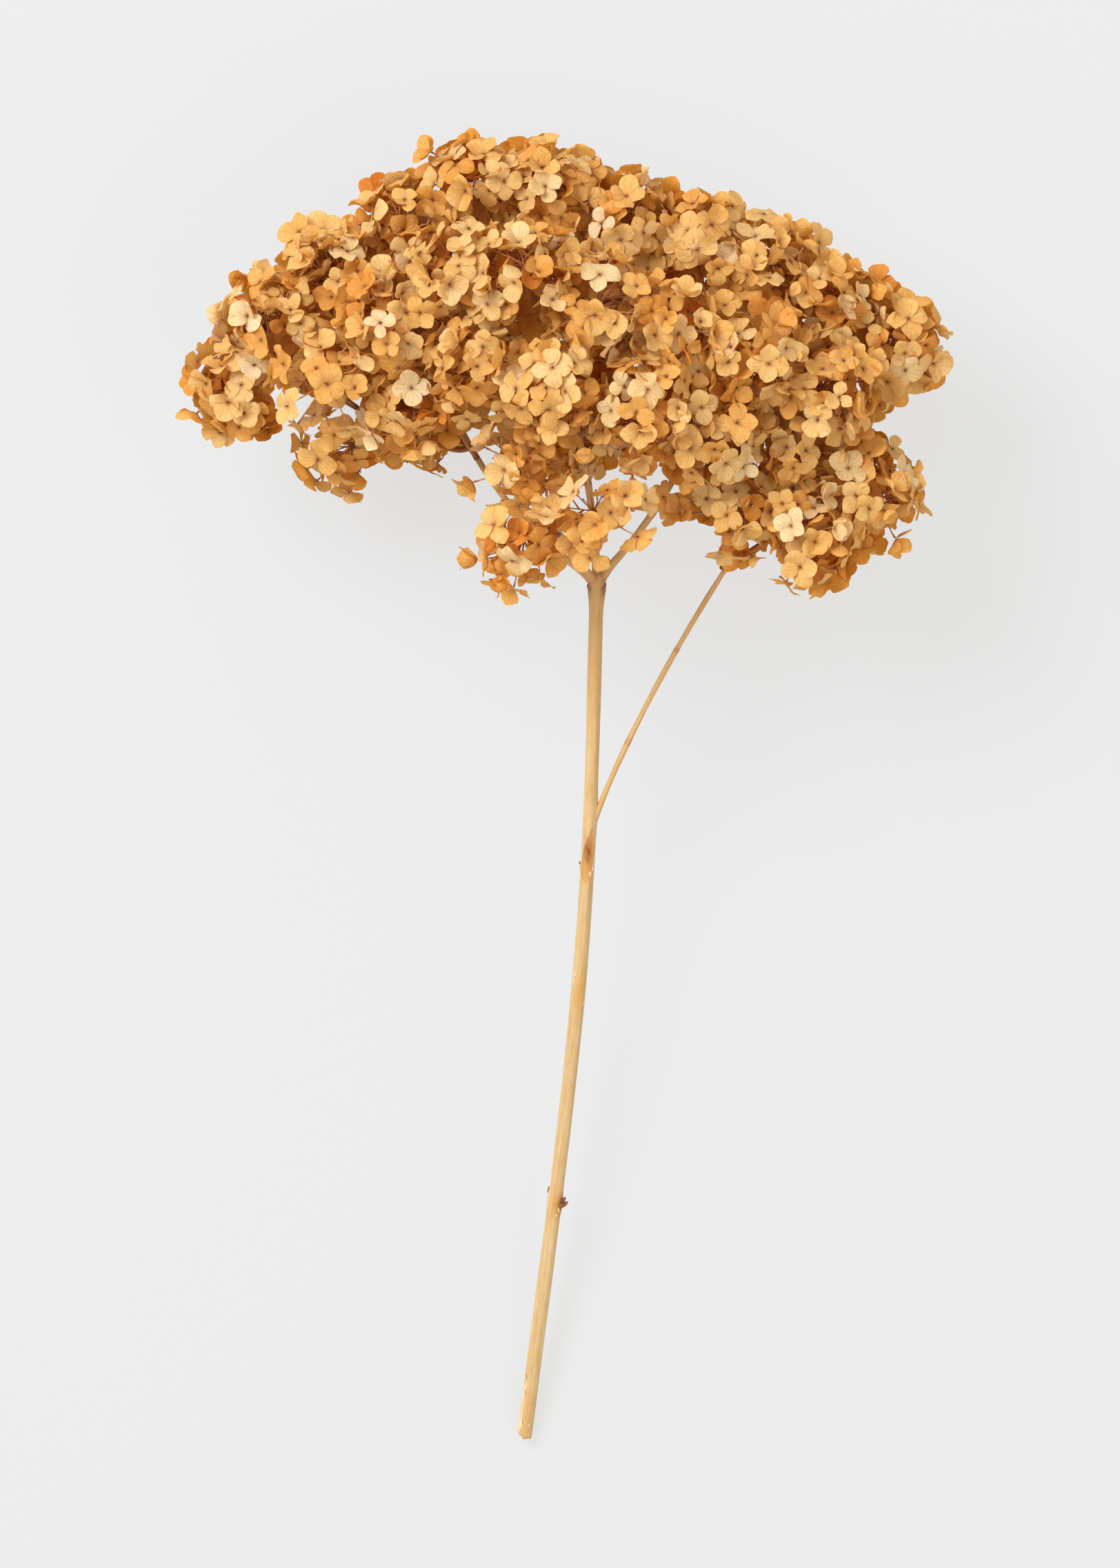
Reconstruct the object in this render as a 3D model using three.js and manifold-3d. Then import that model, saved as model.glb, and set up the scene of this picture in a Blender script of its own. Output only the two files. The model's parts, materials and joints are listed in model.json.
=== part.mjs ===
// A cut and dried hydrangea: one broad flower head on its bare stem, lying on its side.
// Millimetres, +Z up. The stem runs along +Y, from its cut end up to the fork under the head.
// The head is a dome of flower clusters. Each cluster is one grown piece: a stalk, its pedicels
// and their four-petalled florets. Limbs carry the clusters, and the main stem carries the limbs.

import * as THREE from "three";
import { mergeVertices } from "three/addons/utils/BufferGeometryUtils.js";
import Module from "manifold-3d";

const wasm = await Module();
wasm.setup();

// ---------------------------------------------------------------- driving dimensions

const STEM_LENGTH = 330; // cut end to the middle of the fork
const STEM_END_RADIUS = 2.9;
const STEM_TOP_RADIUS = 2.7;
const STEM_SIDES = 10;
const STEM_STATION = 20; // spacing of the stem's rings away from its knots
const LEAST_RING_SPACING = 1;
const CUT_SLANT = 0.35; // how far the cut runs back along the stem for each mm up or across it
const FORK_RADIUS = 3.8;
const FORK_HEIGHT = 64; // of the fork's middle above the surface

const HEAD_WIDTH = 293;
const HEAD_HEIGHT = 184; // along the stem
const HEAD_DEPTH = 150; // above the surface
const HEAD_OVERHANG = 9; // how far the lowest florets hang below the fork
const CLUSTER_REACH = 17; // from a cluster's centre to its outermost floret

const FLORET_SIZES = [8.4, 7.4, 6.3]; // radii, the largest that fits is used
const MOST_FLORETS = 9; // in one cluster
const PETALS = 4;
const PETAL_HALF_ANGLE = 33; // degrees, at the petal's broad tip
const NOTCH_SHARE = 0.62; // radius of the notch between petals, of the floret's radius
const FLORET_CUP = 1.1; // depth of the floret's dished middle
const FLORET_THICKNESS = 0.9; // in the middle; the petals run out to a thin edge
const PEDICEL_LENGTHS = [21, 17.5, 14]; // the longest that has room is used
const PEDICEL_RADIUS = 0.5;
const LEAST_PEDICEL = 6; // a floret pressed against the surface keeps at least this
const PRESS_STEP = 0.5;
const CLUSTER_CAP_ANGLE = 86; // degrees either side of the way that a cluster faces
const FLORET_SPACING = 0.93; // of the sum of two florets' radii
const SEAT_TRIES = 44; // ways out of the knob, over the cap

const KNOB_RADIUS = 1.5; // where a cluster's pedicels meet
const KNOB_SETBACK = 6; // of the knob behind the cluster's centre
const STALK_RADIUS = 0.85;
const STALK_SIDES = 5;
const LIMB_SIDES = 6;
const LIMB_STEPS = 7;
const STALK_STAGGER = 7; // between the feet of neighbouring stalks on a limb
const LOWEST_STALK = 0.1; // of the limb's length
const LEAST_BRANCHING_SINE = 0.2; // of the angle between a bar and what it grows out of

const GAP = 0.35; // left between any two pieces

// The stem's line: sideways place in mm, at a share of its length.
const STEM_LINE = [
  [-15.3, 0],
  [-9.2, 0.143],
  [-3.7, 0.273],
  [5.7, 0.527],
  [10.3, 0.752],
  [12.7, 1],
];

// Swollen joints on the stem: distance from the cut end, extra radius, half length.
const KNOTS = [
  { at: 0, swell: 0.35, half: 9 },
  { at: 90, swell: 0.75, half: 5 },
  { at: 168, swell: 0.2, half: 6 },
  { at: 224, swell: 0.4, half: 9 },
  { at: 321, swell: 1.1, half: 6 },
];

// Buds in the stem's leaf axils: distance from the cut end, side, radius.
const BUDS = [
  { at: 92.5, side: -1, radius: 1.3 },
  { at: 89, side: 1, radius: 1.7 },
];
const BUD_SHAPE = [0.8, 1.7, 0.8]; // stretched along the stem
const BUD_STANDOFF = 0.25; // of its radius, beyond the stem's side

// Limbs, each followed by what it carries. A place is [across, along, lift]: across the head from
// -1 to 1, along it from 0 at its lowest floret to 1 at its top, and above or below its mid-depth
// from 1 to -1. "from" is the piece that the limb grows out of, and "share" how far up that piece.
const LIMBS = [
  {
    name: "left_limb",
    from: "main_stem",
    share: 1,
    to: [-0.34, 0.5, -0.1],
    bow: [-12, -14, 0],
    radii: [1.45, 1.1],
    clusters: [
      [-0.42, 0.8, 0.1],
      [-0.46, 0.61, 0.7],
      [-0.29, 0.7, 0.72],
      [-0.44, 0.42, 0.5],
      [-0.31, 0.37, 0.1],
      [-0.38, 0.62, -0.8],
      [-0.42, 0.42, -0.8],
    ],
  },
  {
    name: "left_outer_limb",
    from: "left_limb",
    share: 0.62,
    to: [-0.7, 0.49, -0.06],
    bow: [-2, -7, 0],
    radii: [1.25, 0.95],
    clusters: [
      [-0.78, 0.6, 0.12],
      [-0.88, 0.46, 0.05],
      [-0.65, 0.47, 0.55],
      [-0.59, 0.33, -0.2],
      [-0.63, 0.69, 0.15],
      [-0.64, 0.55, -0.75],
    ],
  },
  {
    name: "centre_limb",
    from: "main_stem",
    share: 1,
    to: [-0.09, 0.66, -0.05],
    bow: [11, 2, 0],
    radii: [1.55, 1.15],
    clusters: [
      [-0.23, 0.88, 0.05],
      [-0.03, 0.87, 0.1],
      [-0.1, 0.69, 0.85],
      [-0.24, 0.5, 0.85],
      [-0.14, 0.76, -0.7],
      [-0.18, 0.52, -1],
      [-0.02, 0.36, -0.85],
    ],
  },
  {
    name: "centre_right_limb",
    from: "centre_limb",
    share: 0.42,
    to: [0.15, 0.63, 0.06],
    bow: [4, -2, 3],
    radii: [1.4, 1],
    clusters: [
      [0.16, 0.81, 0.12],
      [0.09, 0.63, 0.9],
      [-0.02, 0.46, 1],
      [0.2, 0.42, 0.95],
      [0.12, 0.62, -0.95],
      [0.2, 0.4, -1],
    ],
  },
  {
    name: "right_limb",
    from: "main_stem",
    share: 1,
    to: [0.43, 0.53, -0.02],
    bow: [9, -9, 0],
    radii: [1.5, 1.15],
    clusters: [
      [0.35, 0.76, 0.12],
      [0.54, 0.71, 0.1],
      [0.29, 0.59, 0.8],
      [0.5, 0.54, 0.75],
      [0.4, 0.36, 0.7],
      [0.36, 0.6, -0.8],
      [0.43, 0.4, -0.9],
    ],
  },
  {
    name: "right_outer_limb",
    from: "right_limb",
    share: 0.6,
    to: [0.72, 0.5, -0.04],
    bow: [4, -4, 0],
    radii: [1.25, 0.95],
    clusters: [
      [0.72, 0.63, 0.1],
      [0.88, 0.54, 0.05],
      [0.7, 0.46, 0.55],
      [0.66, 0.52, -0.75],
    ],
  },
  {
    name: "front_limb",
    from: "main_stem",
    share: 1,
    to: [-0.04, 0.2, 0.36],
    bow: [-3, -3, 5],
    radii: [1.3, 1],
    clusters: [
      [-0.12, 0.28, 0.62],
      [-0.11, 0.12, 0.8],
      [0.08, 0.18, 0.95],
    ],
  },
  {
    name: "side_branch",
    from: "main_stem",
    share: 0.71,
    to: [0.435, 0.09, -0.06],
    bow: [-5, 2, 0],
    radii: [1.15, 1.05],
    clusters: [[0.475, 0.185, 0.24]],
  },
  {
    name: "side_branch_fork",
    from: "side_branch",
    share: 1,
    to: [0.64, 0.22, -0.06],
    bow: [3, -4, 0],
    radii: [0.95, 0.85],
    clusters: [
      [0.62, 0.31, 0.25],
      [0.66, 0.13, 0.35],
      [0.83, 0.22, 0.15],
      [0.62, 0.24, -0.7],
    ],
  },
];

// The head's inner middle, as a place: clusters face away from it.
const HEAD_HEART = [0.06, 0.3, 0];
// How strongly a cluster faces sideways, up the head and out of its depth.
const FACING = new THREE.Vector3(0.75, 1, 1.5);

// ---------------------------------------------------------------- materials

const finish = (color, roughness) =>
  new THREE.MeshStandardMaterial({ color, roughness, metalness: 0 });
const STEM_FINISH = finish(0xdcb67f, 0.7);
const LIMB_FINISH = finish(0xbf8448, 0.75);
const FLORET_FINISHES = [0xe0a44e, 0xd6963f, 0xe8b766, 0xcb8636].map((c) =>
  finish(c, 0.65),
);

// ---------------------------------------------------------------- solids

// A closed mesh's geometry as a solid that manifold-3d can join and cut.
function solidOf(geometry) {
  const bare = new THREE.BufferGeometry();
  bare.setAttribute("position", geometry.getAttribute("position"));
  bare.setIndex(geometry.index);
  const merged = mergeVertices(bare, 1e-3);
  return new wasm.Manifold(
    new wasm.Mesh({
      numProp: 3,
      vertProperties: merged.attributes.position.array,
      triVerts: new Uint32Array(merged.index.array),
    }),
  );
}

// A solid's surface as a three.js geometry.
function geometryOf(solid) {
  const mesh = solid.getMesh();
  const geometry = new THREE.BufferGeometry();
  geometry.setAttribute(
    "position",
    new THREE.BufferAttribute(mesh.vertProperties, 3),
  );
  geometry.setIndex(new THREE.BufferAttribute(mesh.triVerts, 1));
  geometry.computeVertexNormals();
  return geometry;
}

const joined = (solids) => solids.reduce((whole, next) => whole.add(next));

const place = (across, along, lift) =>
  new THREE.Vector3(
    (across * HEAD_WIDTH) / 2,
    STEM_LENGTH - HEAD_OVERHANG + along * HEAD_HEIGHT,
    HEAD_DEPTH / 2 + lift * (HEAD_DEPTH / 2 - CLUSTER_REACH),
  );

// A closed round bar along a curve. stations are the shares of its length that get a ring.
function bar(curve, radiusAt, sides, stations) {
  const steps = stations.length - 1;
  const geometry = new THREE.CylinderGeometry(1, 1, 1, sides, steps);
  const at = geometry.attributes.position;
  const up = new THREE.Vector3(0, 0, 1);
  const vertex = new THREE.Vector3();
  for (let i = 0; i < at.count; i++) {
    const share = stations[Math.round((at.getY(i) + 0.5) * steps)];
    const along = curve.getTangentAt(share);
    const side = new THREE.Vector3().crossVectors(along, up).normalize();
    const top = new THREE.Vector3().crossVectors(side, along);
    const radius = radiusAt(share);
    vertex.copy(curve.getPointAt(share));
    vertex.addScaledVector(side, at.getX(i) * radius);
    vertex.addScaledVector(top, at.getZ(i) * radius);
    at.setXYZ(i, vertex.x, vertex.y, vertex.z);
  }
  return geometry;
}

const evenly = (steps) => Array.from({ length: steps + 1 }, (_, i) => i / steps);

const tapered = (from, to) => (share) => from + (to - from) * share;

// A ball of few faces.
function ball(centre, radius, detail) {
  return new THREE.IcosahedronGeometry(radius, detail).translate(
    centre.x,
    centre.y,
    centre.z,
  );
}

// ---------------------------------------------------------------- main stem

function stemCurve() {
  const rise = FORK_HEIGHT - STEM_END_RADIUS;
  return new THREE.CatmullRomCurve3(
    STEM_LINE.map(
      ([across, share]) =>
        new THREE.Vector3(
          across,
          share * STEM_LENGTH,
          STEM_END_RADIUS + share * rise,
        ),
    ),
  );
}

function mainStem(curve) {
  const length = curve.getLength();
  const plain = tapered(STEM_END_RADIUS, STEM_TOP_RADIUS);
  const radiusAt = (share) =>
    KNOTS.reduce((radius, { at, swell, half }) => {
      const off = (share * length - at) / half;
      return radius + swell * Math.exp(-off * off * 2);
    }, plain(share));

  // Rings stand evenly along the stem, and closer together over each knot.
  const evenRings = evenly(Math.round(length / STEM_STATION));
  const knotRings = KNOTS.flatMap(({ at, half }) =>
    [-1, -0.5, 0, 0.5, 1].map((step) =>
      THREE.MathUtils.clamp((at + step * half) / length, 0, 1),
    ),
  );
  const rings = [...evenRings, ...knotRings]
    .sort((a, b) => a - b)
    .filter((share, i, all) => i === 0 || share - all[i - 1] > LEAST_RING_SPACING / length);
  const stem = bar(curve, radiusAt, STEM_SIDES, rings);

  // The cut slants: its upper right side runs furthest back up the stem.
  const at = stem.attributes.position;
  const cut = curve.getPointAt(0);
  for (let i = 0; i < at.count; i++) {
    if (at.getY(i) < STEM_END_RADIUS) {
      const right = at.getX(i) - cut.x;
      const up = at.getZ(i) - cut.z;
      at.setY(i, at.getY(i) + (STEM_END_RADIUS * 2 + right + up) * CUT_SLANT);
    }
  }

  const buds = BUDS.map(({ at: height, side, radius }) => {
    const share = height / length;
    const middle = curve.getPointAt(share);
    const bud = new THREE.IcosahedronGeometry(radius, 1).scale(...BUD_SHAPE);
    const out = side * (radiusAt(share) + radius * BUD_STANDOFF);
    return solidOf(bud.translate(middle.x + out, middle.y, middle.z));
  });
  const fork = solidOf(ball(curve.getPointAt(1), FORK_RADIUS, 1));
  return joined([solidOf(stem), fork, ...buds]);
}

// ---------------------------------------------------------------- limbs

// Where a thin bar that heads for "target" begins, so that its foot is GAP clear of a thicker bar:
// of the bar's side or of its flat end, whichever is nearer.
function footOn(curve, share, thickness, target, footRadius) {
  const root = curve.getPointAt(share);
  const out = target.clone().sub(root).normalize();
  const cosine = out.dot(curve.getTangentAt(share));
  const sine = Math.sqrt(1 - cosine * cosine);
  const beyond = (1 - share) * curve.getLength();
  const pastSide =
    (thickness + GAP + footRadius * Math.abs(cosine)) / Math.max(sine, LEAST_BRANCHING_SINE);
  const pastEnd = cosine > 0 ? (beyond + GAP + footRadius * sine) / cosine : Infinity;
  return root.addScaledVector(out, Math.min(pastSide, pastEnd));
}

// The same on the ball at the stem's fork.
function footOnFork(curve, target) {
  const root = curve.getPointAt(1);
  const out = target.clone().sub(root).normalize();
  return root.addScaledVector(out, FORK_RADIUS + GAP);
}

function limbCurve(limb, parent) {
  const tip = place(...limb.to);
  const middle = parent.curve.getPointAt(limb.share).lerp(tip, 0.5);
  middle.add(new THREE.Vector3(...limb.bow));
  const thickness = parent.radiusAt(limb.share);
  const foot =
    limb.from === "main_stem" && limb.share === 1
      ? footOnFork(parent.curve, middle)
      : footOn(parent.curve, limb.share, thickness, middle, limb.radii[0]);
  return new THREE.QuadraticBezierCurve3(foot, middle, tip);
}

// ---------------------------------------------------------------- florets

// One floret with its pedicel. It faces +Z, and its pedicel's foot is at the origin.
function floret(radius, pedicel) {
  const points = [[0, 0, pedicel - FLORET_CUP]];
  for (let petal = 0; petal < PETALS; petal++) {
    const middle = (petal * 360) / PETALS;
    const corners = [
      [middle - PETAL_HALF_ANGLE, 1, 0.4],
      [middle + PETAL_HALF_ANGLE, 1, 0.4],
      [middle + 180 / PETALS, NOTCH_SHARE, -0.5],
    ];
    for (const [degrees, share, rise] of corners) {
      const angle = THREE.MathUtils.degToRad(degrees);
      const reach = radius * share;
      points.push([
        Math.cos(angle) * reach,
        Math.sin(angle) * reach,
        pedicel + rise * FLORET_CUP,
      ]);
    }
  }
  const rim = PETALS * 3;
  const ring = 3; // the pedicel has three sides
  const perSide = rim / ring;
  for (let i = 0; i < ring; i++) {
    const angle = ((i + 0.5) * 2 * Math.PI) / ring;
    points.push([
      Math.cos(angle) * PEDICEL_RADIUS,
      Math.sin(angle) * PEDICEL_RADIUS,
      pedicel - FLORET_CUP - FLORET_THICKNESS,
    ]);
  }
  points.push([0, 0, 0]);

  const faces = [];
  const rimAt = (i) => 1 + (i % rim);
  const ringAt = (i) => 1 + rim + (i % ring);
  const foot = 1 + rim + ring;
  for (let i = 0; i < rim; i++) {
    faces.push(0, rimAt(i), rimAt(i + 1));
    faces.push(rimAt(i + 1), rimAt(i), ringAt(Math.floor(i / perSide)));
  }
  for (let i = 0; i < ring; i++) {
    faces.push(rimAt(perSide * (i + 1)), ringAt(i), ringAt(i + 1));
    faces.push(ringAt(i + 1), ringAt(i), foot);
  }
  const geometry = new THREE.BufferGeometry();
  geometry.setAttribute("position", new THREE.Float32BufferAttribute(points.flat(), 3));
  geometry.setIndex(faces);
  return geometry;
}

const GOLDEN_ANGLE = Math.PI * (3 - Math.sqrt(5));

// Ways out of a cluster's knob, spiralling out from the way that it faces.
function waysOut(facing) {
  const turn = new THREE.Quaternion().setFromUnitVectors(
    new THREE.Vector3(0, 0, 1),
    facing,
  );
  const lowest = Math.cos(THREE.MathUtils.degToRad(CLUSTER_CAP_ANGLE));
  return Array.from({ length: SEAT_TRIES }, (_, i) => {
    const height = 1 - (i / SEAT_TRIES) * (1 - lowest);
    const across = Math.sqrt(1 - height * height);
    const angle = i * GOLDEN_ANGLE;
    const way = new THREE.Vector3(
      Math.cos(angle) * across,
      Math.sin(angle) * across,
      height,
    );
    return way.applyQuaternion(turn);
  });
}

// A floret set on a knob: its solid, its middle and its corners.
function seatedFloret(knob, way, radius, pedicel, roll) {
  const turn = new THREE.Quaternion()
    .setFromUnitVectors(new THREE.Vector3(0, 0, 1), way)
    .multiply(new THREE.Quaternion().setFromAxisAngle(new THREE.Vector3(0, 0, 1), roll));
  const set = new THREE.Matrix4().compose(knob, turn, new THREE.Vector3(1, 1, 1));
  const geometry = floret(radius, pedicel).applyMatrix4(set);
  const at = geometry.attributes.position;
  const corners = Array.from({ length: at.count - 1 }, (_, i) =>
    new THREE.Vector3().fromBufferAttribute(at, i),
  );
  const middle = knob.clone().addScaledVector(way, pedicel);
  return { geometry, corners, middle, radius };
}

// The longest pedicel, up to the wanted one, that keeps a floret above the surface it lies on.
function pressed(knob, way, radius, pedicel, roll) {
  for (let length = pedicel; length > LEAST_PEDICEL; length -= PRESS_STEP) {
    const seated = seatedFloret(knob, way, radius, length, roll);
    if (seated.corners.every((corner) => corner.z >= 0)) {
      return seated;
    }
  }
  return null;
}

// True if every corner lies on this cluster's side of the planes half way to the others.
function inOwnSpace(corners, own, others) {
  return others.every((other) => {
    const way = other.clone().sub(own);
    const half = way.length() / 2 - GAP / 2;
    way.normalize();
    return corners.every((corner) => corner.clone().sub(own).dot(way) <= half);
  });
}

const boxesMeet = (a, b) => [0, 1, 2].every((i) => a.min[i] < b.max[i] && b.min[i] < a.max[i]);

const isClear = (solid, obstacles) => {
  const box = solid.boundingBox();
  return obstacles.every(
    (obstacle) =>
      !boxesMeet(box, obstacle.box) || solid.intersect(obstacle.solid).isEmpty(),
  );
};

// Seats as many florets as have room, the largest first.
function florets(cluster, otherCentres, obstacles) {
  const ways = waysOut(cluster.facing);
  const seated = [];

  const seatFits = (one) =>
    one !== null &&
    seated.every(
      (other) =>
        other.middle.distanceTo(one.middle) > FLORET_SPACING * (other.radius + one.radius),
    ) &&
    inOwnSpace(one.corners, cluster.centre, otherCentres) &&
    isClear(solidOf(one.geometry), obstacles);

  for (const radius of FLORET_SIZES) {
    ways.forEach((way, i) => {
      const roll = i * GOLDEN_ANGLE;
      const fitting = PEDICEL_LENGTHS.map((pedicel) =>
        pressed(cluster.knob, way, radius, pedicel, roll),
      ).find(seatFits);
      if (fitting && seated.length < MOST_FLORETS) {
        seated.push(fitting);
      }
    });
  }
  return seated.map((one) => solidOf(one.geometry));
}

// ---------------------------------------------------------------- the whole flower

const head = new THREE.Group();

function addPiece(name, solid, material) {
  const mesh = new THREE.Mesh(geometryOf(solid), material);
  mesh.name = name;
  head.add(mesh);
}

// Woody pieces, with a slightly thicker copy of each that florets keep clear of.
const woody = new Map();
const obstacles = [];

function addObstacle(owner, geometry) {
  const solid = solidOf(geometry);
  obstacles.push({ owner, solid, box: solid.boundingBox() });
}

const stem = stemCurve();
woody.set("main_stem", {
  curve: stem,
  radiusAt: tapered(STEM_END_RADIUS, STEM_TOP_RADIUS),
});
addPiece("main_stem", mainStem(stem), STEM_FINISH);
const mostSwell = Math.max(...KNOTS.map(({ swell }) => swell));
const stemClear = () => STEM_END_RADIUS + mostSwell + GAP;
addObstacle("main_stem", bar(stem, stemClear, STEM_SIDES, evenly(LIMB_STEPS * 2)));
addObstacle("main_stem", ball(stem.getPointAt(1), FORK_RADIUS + GAP, 1));

for (const limb of LIMBS) {
  const curve = limbCurve(limb, woody.get(limb.from));
  const radiusAt = tapered(...limb.radii);
  woody.set(limb.name, { curve, radiusAt });
  const stations = evenly(LIMB_STEPS);
  const solid = solidOf(bar(curve, radiusAt, LIMB_SIDES, stations));
  addPiece(limb.name, solid, LIMB_FINISH);
  const clear = (share) => radiusAt(share) + GAP;
  addObstacle(limb.name, bar(curve, clear, LIMB_SIDES, stations));
}

// Every cluster's place, the way it faces, and its stalk.
const heart = place(...HEAD_HEART);
const clusters = LIMBS.flatMap((limb) => {
  const { curve, radiusAt } = woody.get(limb.name);
  const length = curve.getLength();
  const onLimb = limb.clusters.map((where, i) => {
    const centre = place(...where);
    const facing = centre.clone().sub(heart).multiply(FACING).normalize();
    const knob = centre.clone().addScaledVector(facing, -KNOB_SETBACK);
    const name = `${limb.name.replace(/_limb$/, "")}_cluster_${i + 1}`;
    return { name, centre, facing, knob };
  });
  // The limb's own fork, or else the cluster furthest along it, takes its tip, and the others
  // follow down the limb.
  const taken = LIMBS.filter((other) => other.from === limb.name && other.share === 1).length;
  const alongLimb = curve.getTangentAt(1);
  const fromTip = [...onLimb].sort((a, b) => b.knob.dot(alongLimb) - a.knob.dot(alongLimb));
  fromTip.forEach((cluster, i) => {
    const share = Math.max(1 - ((i + taken) * STALK_STAGGER) / length, LOWEST_STALK);
    const foot = footOn(curve, share, radiusAt(share), cluster.knob, STALK_RADIUS);
    const line = new THREE.LineCurve3(foot, cluster.knob);
    cluster.stalk = bar(line, () => STALK_RADIUS, STALK_SIDES, evenly(1));
    const clear = () => STALK_RADIUS + GAP;
    addObstacle(cluster.name, bar(line, clear, STALK_SIDES, evenly(1)));
    addObstacle(cluster.name, ball(cluster.knob, KNOB_RADIUS + GAP, 0));
  });
  return onLimb;
});

clusters.forEach((cluster, i) => {
  const otherCentres = clusters.filter((c) => c !== cluster).map((c) => c.centre);
  const inTheWay = obstacles.filter((o) => o.owner !== cluster.name);
  const pieces = [
    solidOf(cluster.stalk),
    solidOf(ball(cluster.knob, KNOB_RADIUS, 0)),
    ...florets(cluster, otherCentres, inTheWay),
  ];
  addPiece(cluster.name, joined(pieces), FLORET_FINISHES[i % FLORET_FINISHES.length]);
});

// The origin is under the middle of the flower, on the surface that it lies on.
const extent = new THREE.Box3().setFromObject(head);
const middle = extent.getCenter(new THREE.Vector3());
head.position.set(-middle.x, -middle.y, -extent.min.z);

const dried_hydrangea = new THREE.Group();
dried_hydrangea.add(head);

export default dried_hydrangea;
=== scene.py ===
"""A cut and dried hydrangea, lying on its side on a pale floor.

The frame gives the bare stem, the limbs of the flower head, and one node for each flower cluster,
with the seats of that cluster's larger florets. This script grows the rest from them: bark on the
stem and limbs, and on every cluster its stalk, pedicels, buds and papery florets.

Everything is in metres. Sizes are written in millimetres and multiplied by MM.
"""

import json
import math

import bmesh
import bpy
import numpy as np
from mathutils import Matrix, Vector

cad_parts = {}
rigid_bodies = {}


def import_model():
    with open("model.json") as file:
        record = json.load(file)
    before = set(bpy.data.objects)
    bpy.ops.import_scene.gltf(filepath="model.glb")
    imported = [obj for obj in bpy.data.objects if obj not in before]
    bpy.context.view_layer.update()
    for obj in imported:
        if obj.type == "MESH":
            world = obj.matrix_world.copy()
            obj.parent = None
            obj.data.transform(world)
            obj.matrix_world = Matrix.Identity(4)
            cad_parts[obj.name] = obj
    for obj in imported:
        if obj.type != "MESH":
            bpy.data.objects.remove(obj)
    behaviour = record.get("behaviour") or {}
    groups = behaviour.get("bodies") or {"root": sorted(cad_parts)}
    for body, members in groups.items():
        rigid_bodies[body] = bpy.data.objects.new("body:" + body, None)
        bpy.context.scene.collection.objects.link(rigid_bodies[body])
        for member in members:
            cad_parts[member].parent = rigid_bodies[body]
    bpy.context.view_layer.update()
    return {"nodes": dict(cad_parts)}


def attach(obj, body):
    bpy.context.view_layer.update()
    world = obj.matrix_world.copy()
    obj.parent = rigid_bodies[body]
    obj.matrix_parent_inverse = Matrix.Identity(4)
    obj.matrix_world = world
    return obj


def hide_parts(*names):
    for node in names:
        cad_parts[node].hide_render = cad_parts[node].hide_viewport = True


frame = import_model()

MM = 0.001
BODY = "root"
FLAKE_SEED, PETAL_SEED, FILL_SEED, HOLE_SEED, EDGE_SEED, GROWTH_SEED = 3, 5, 11, 31, 41, 23

# ------------------------------------------------------------------ sizes, in millimetres

# Florets.
PETAL_FORMS = 16  # differently curled petals that the florets pick from
PETAL_THICKNESS = 0.018  # of its length
PETAL_ROWS = 6
PETALS_PER_FLORET = 4
SEAT_SHRINK = 0.97  # a floret is a little smaller than the solid that stands for it
LEAST_REACH, MOST_REACH = 3.0, 10.0  # of a seat's rim from its middle
LEAST_NOTCH = 0.5  # spread of those reaches, because a seat's rim is notched
SEAT_HALF_HEIGHT = 2.4  # of the solid round a seat's middle
FOOT_LENGTH = 2.2  # of a stalk's end, which is averaged to find its foot
SMALLEST_FLORET, LARGEST_FLORET = 6.2, 8.9  # radii of the florets between the seats
SHORTEST_PEDICEL, LONGEST_PEDICEL = 9.5, 21.0
FLORETS_PER_CLUSTER = 46
SPARSE_CLUSTERS = {
    "front_cluster_1": 27,
    "front_cluster_2": 26,
    "front_cluster_3": 22,
    "left_cluster_5": 26,
    "left_outer_cluster_4": 22,
}
FLORET_TRIES = 1500  # places tried for them
FLORET_SPACING = 0.45  # of the sum of two radii, because florets overlap
CLUSTER_MINGLING = 4.0  # how far florets reach into the next cluster's space
FLORETS_SPREAD = math.radians(118)  # widest angle from the way that a cluster faces
FLORET_LEAN = 0.5  # spread of what is added to the way that a floret faces
DEEPEST_FLORET = 1.0  # below the surface, before its petals are pressed up to it
CLUSTER_SETBACK = 6.0  # of the knob behind a cluster's middle

# Florets low in the head, which close holes through it.
HOLE_FIELD = ((-0.15, 0.15), (0.06, 0.26))  # x and y looked at, in metres
HOLE_GRID = 1.6  # between the places looked at
WIDEST_GAP = 5  # half of it, in places: anything wider is outside the head
CLOSER_SPACING = 0.65 * LARGEST_FLORET
LOW_KNOB = 30.0  # knobs below this height are in the head's lower half
LOWEST_CLOSER = 9.0
CLOSER_PAINTED_SHADE = 0.35  # how much darker they are painted, as shade low in the head

# Petals.
SEAT_JITTER = 0.27  # spread of what is added to the way that a seat faces
OPENING, OPENING_SPREAD = 18, 17  # degrees that petals rise from a flat floret
PETAL_TILT = 11  # degrees that single petals differ by
THREE_PETALLED = 0.06  # of florets have lost a petal
TONE, TONE_SPREAD = 0.6, 0.11  # 0 is dark and 1 pale
TONE_RANGE = (0.3, 0.84)
PALE_TONES = (0.84, 0.98)
PALE_SHARE = 0.05  # of florets are bleached
PRESSED_HEIGHT = 1.2  # petals lower than this bend to lie along the surface

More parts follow.
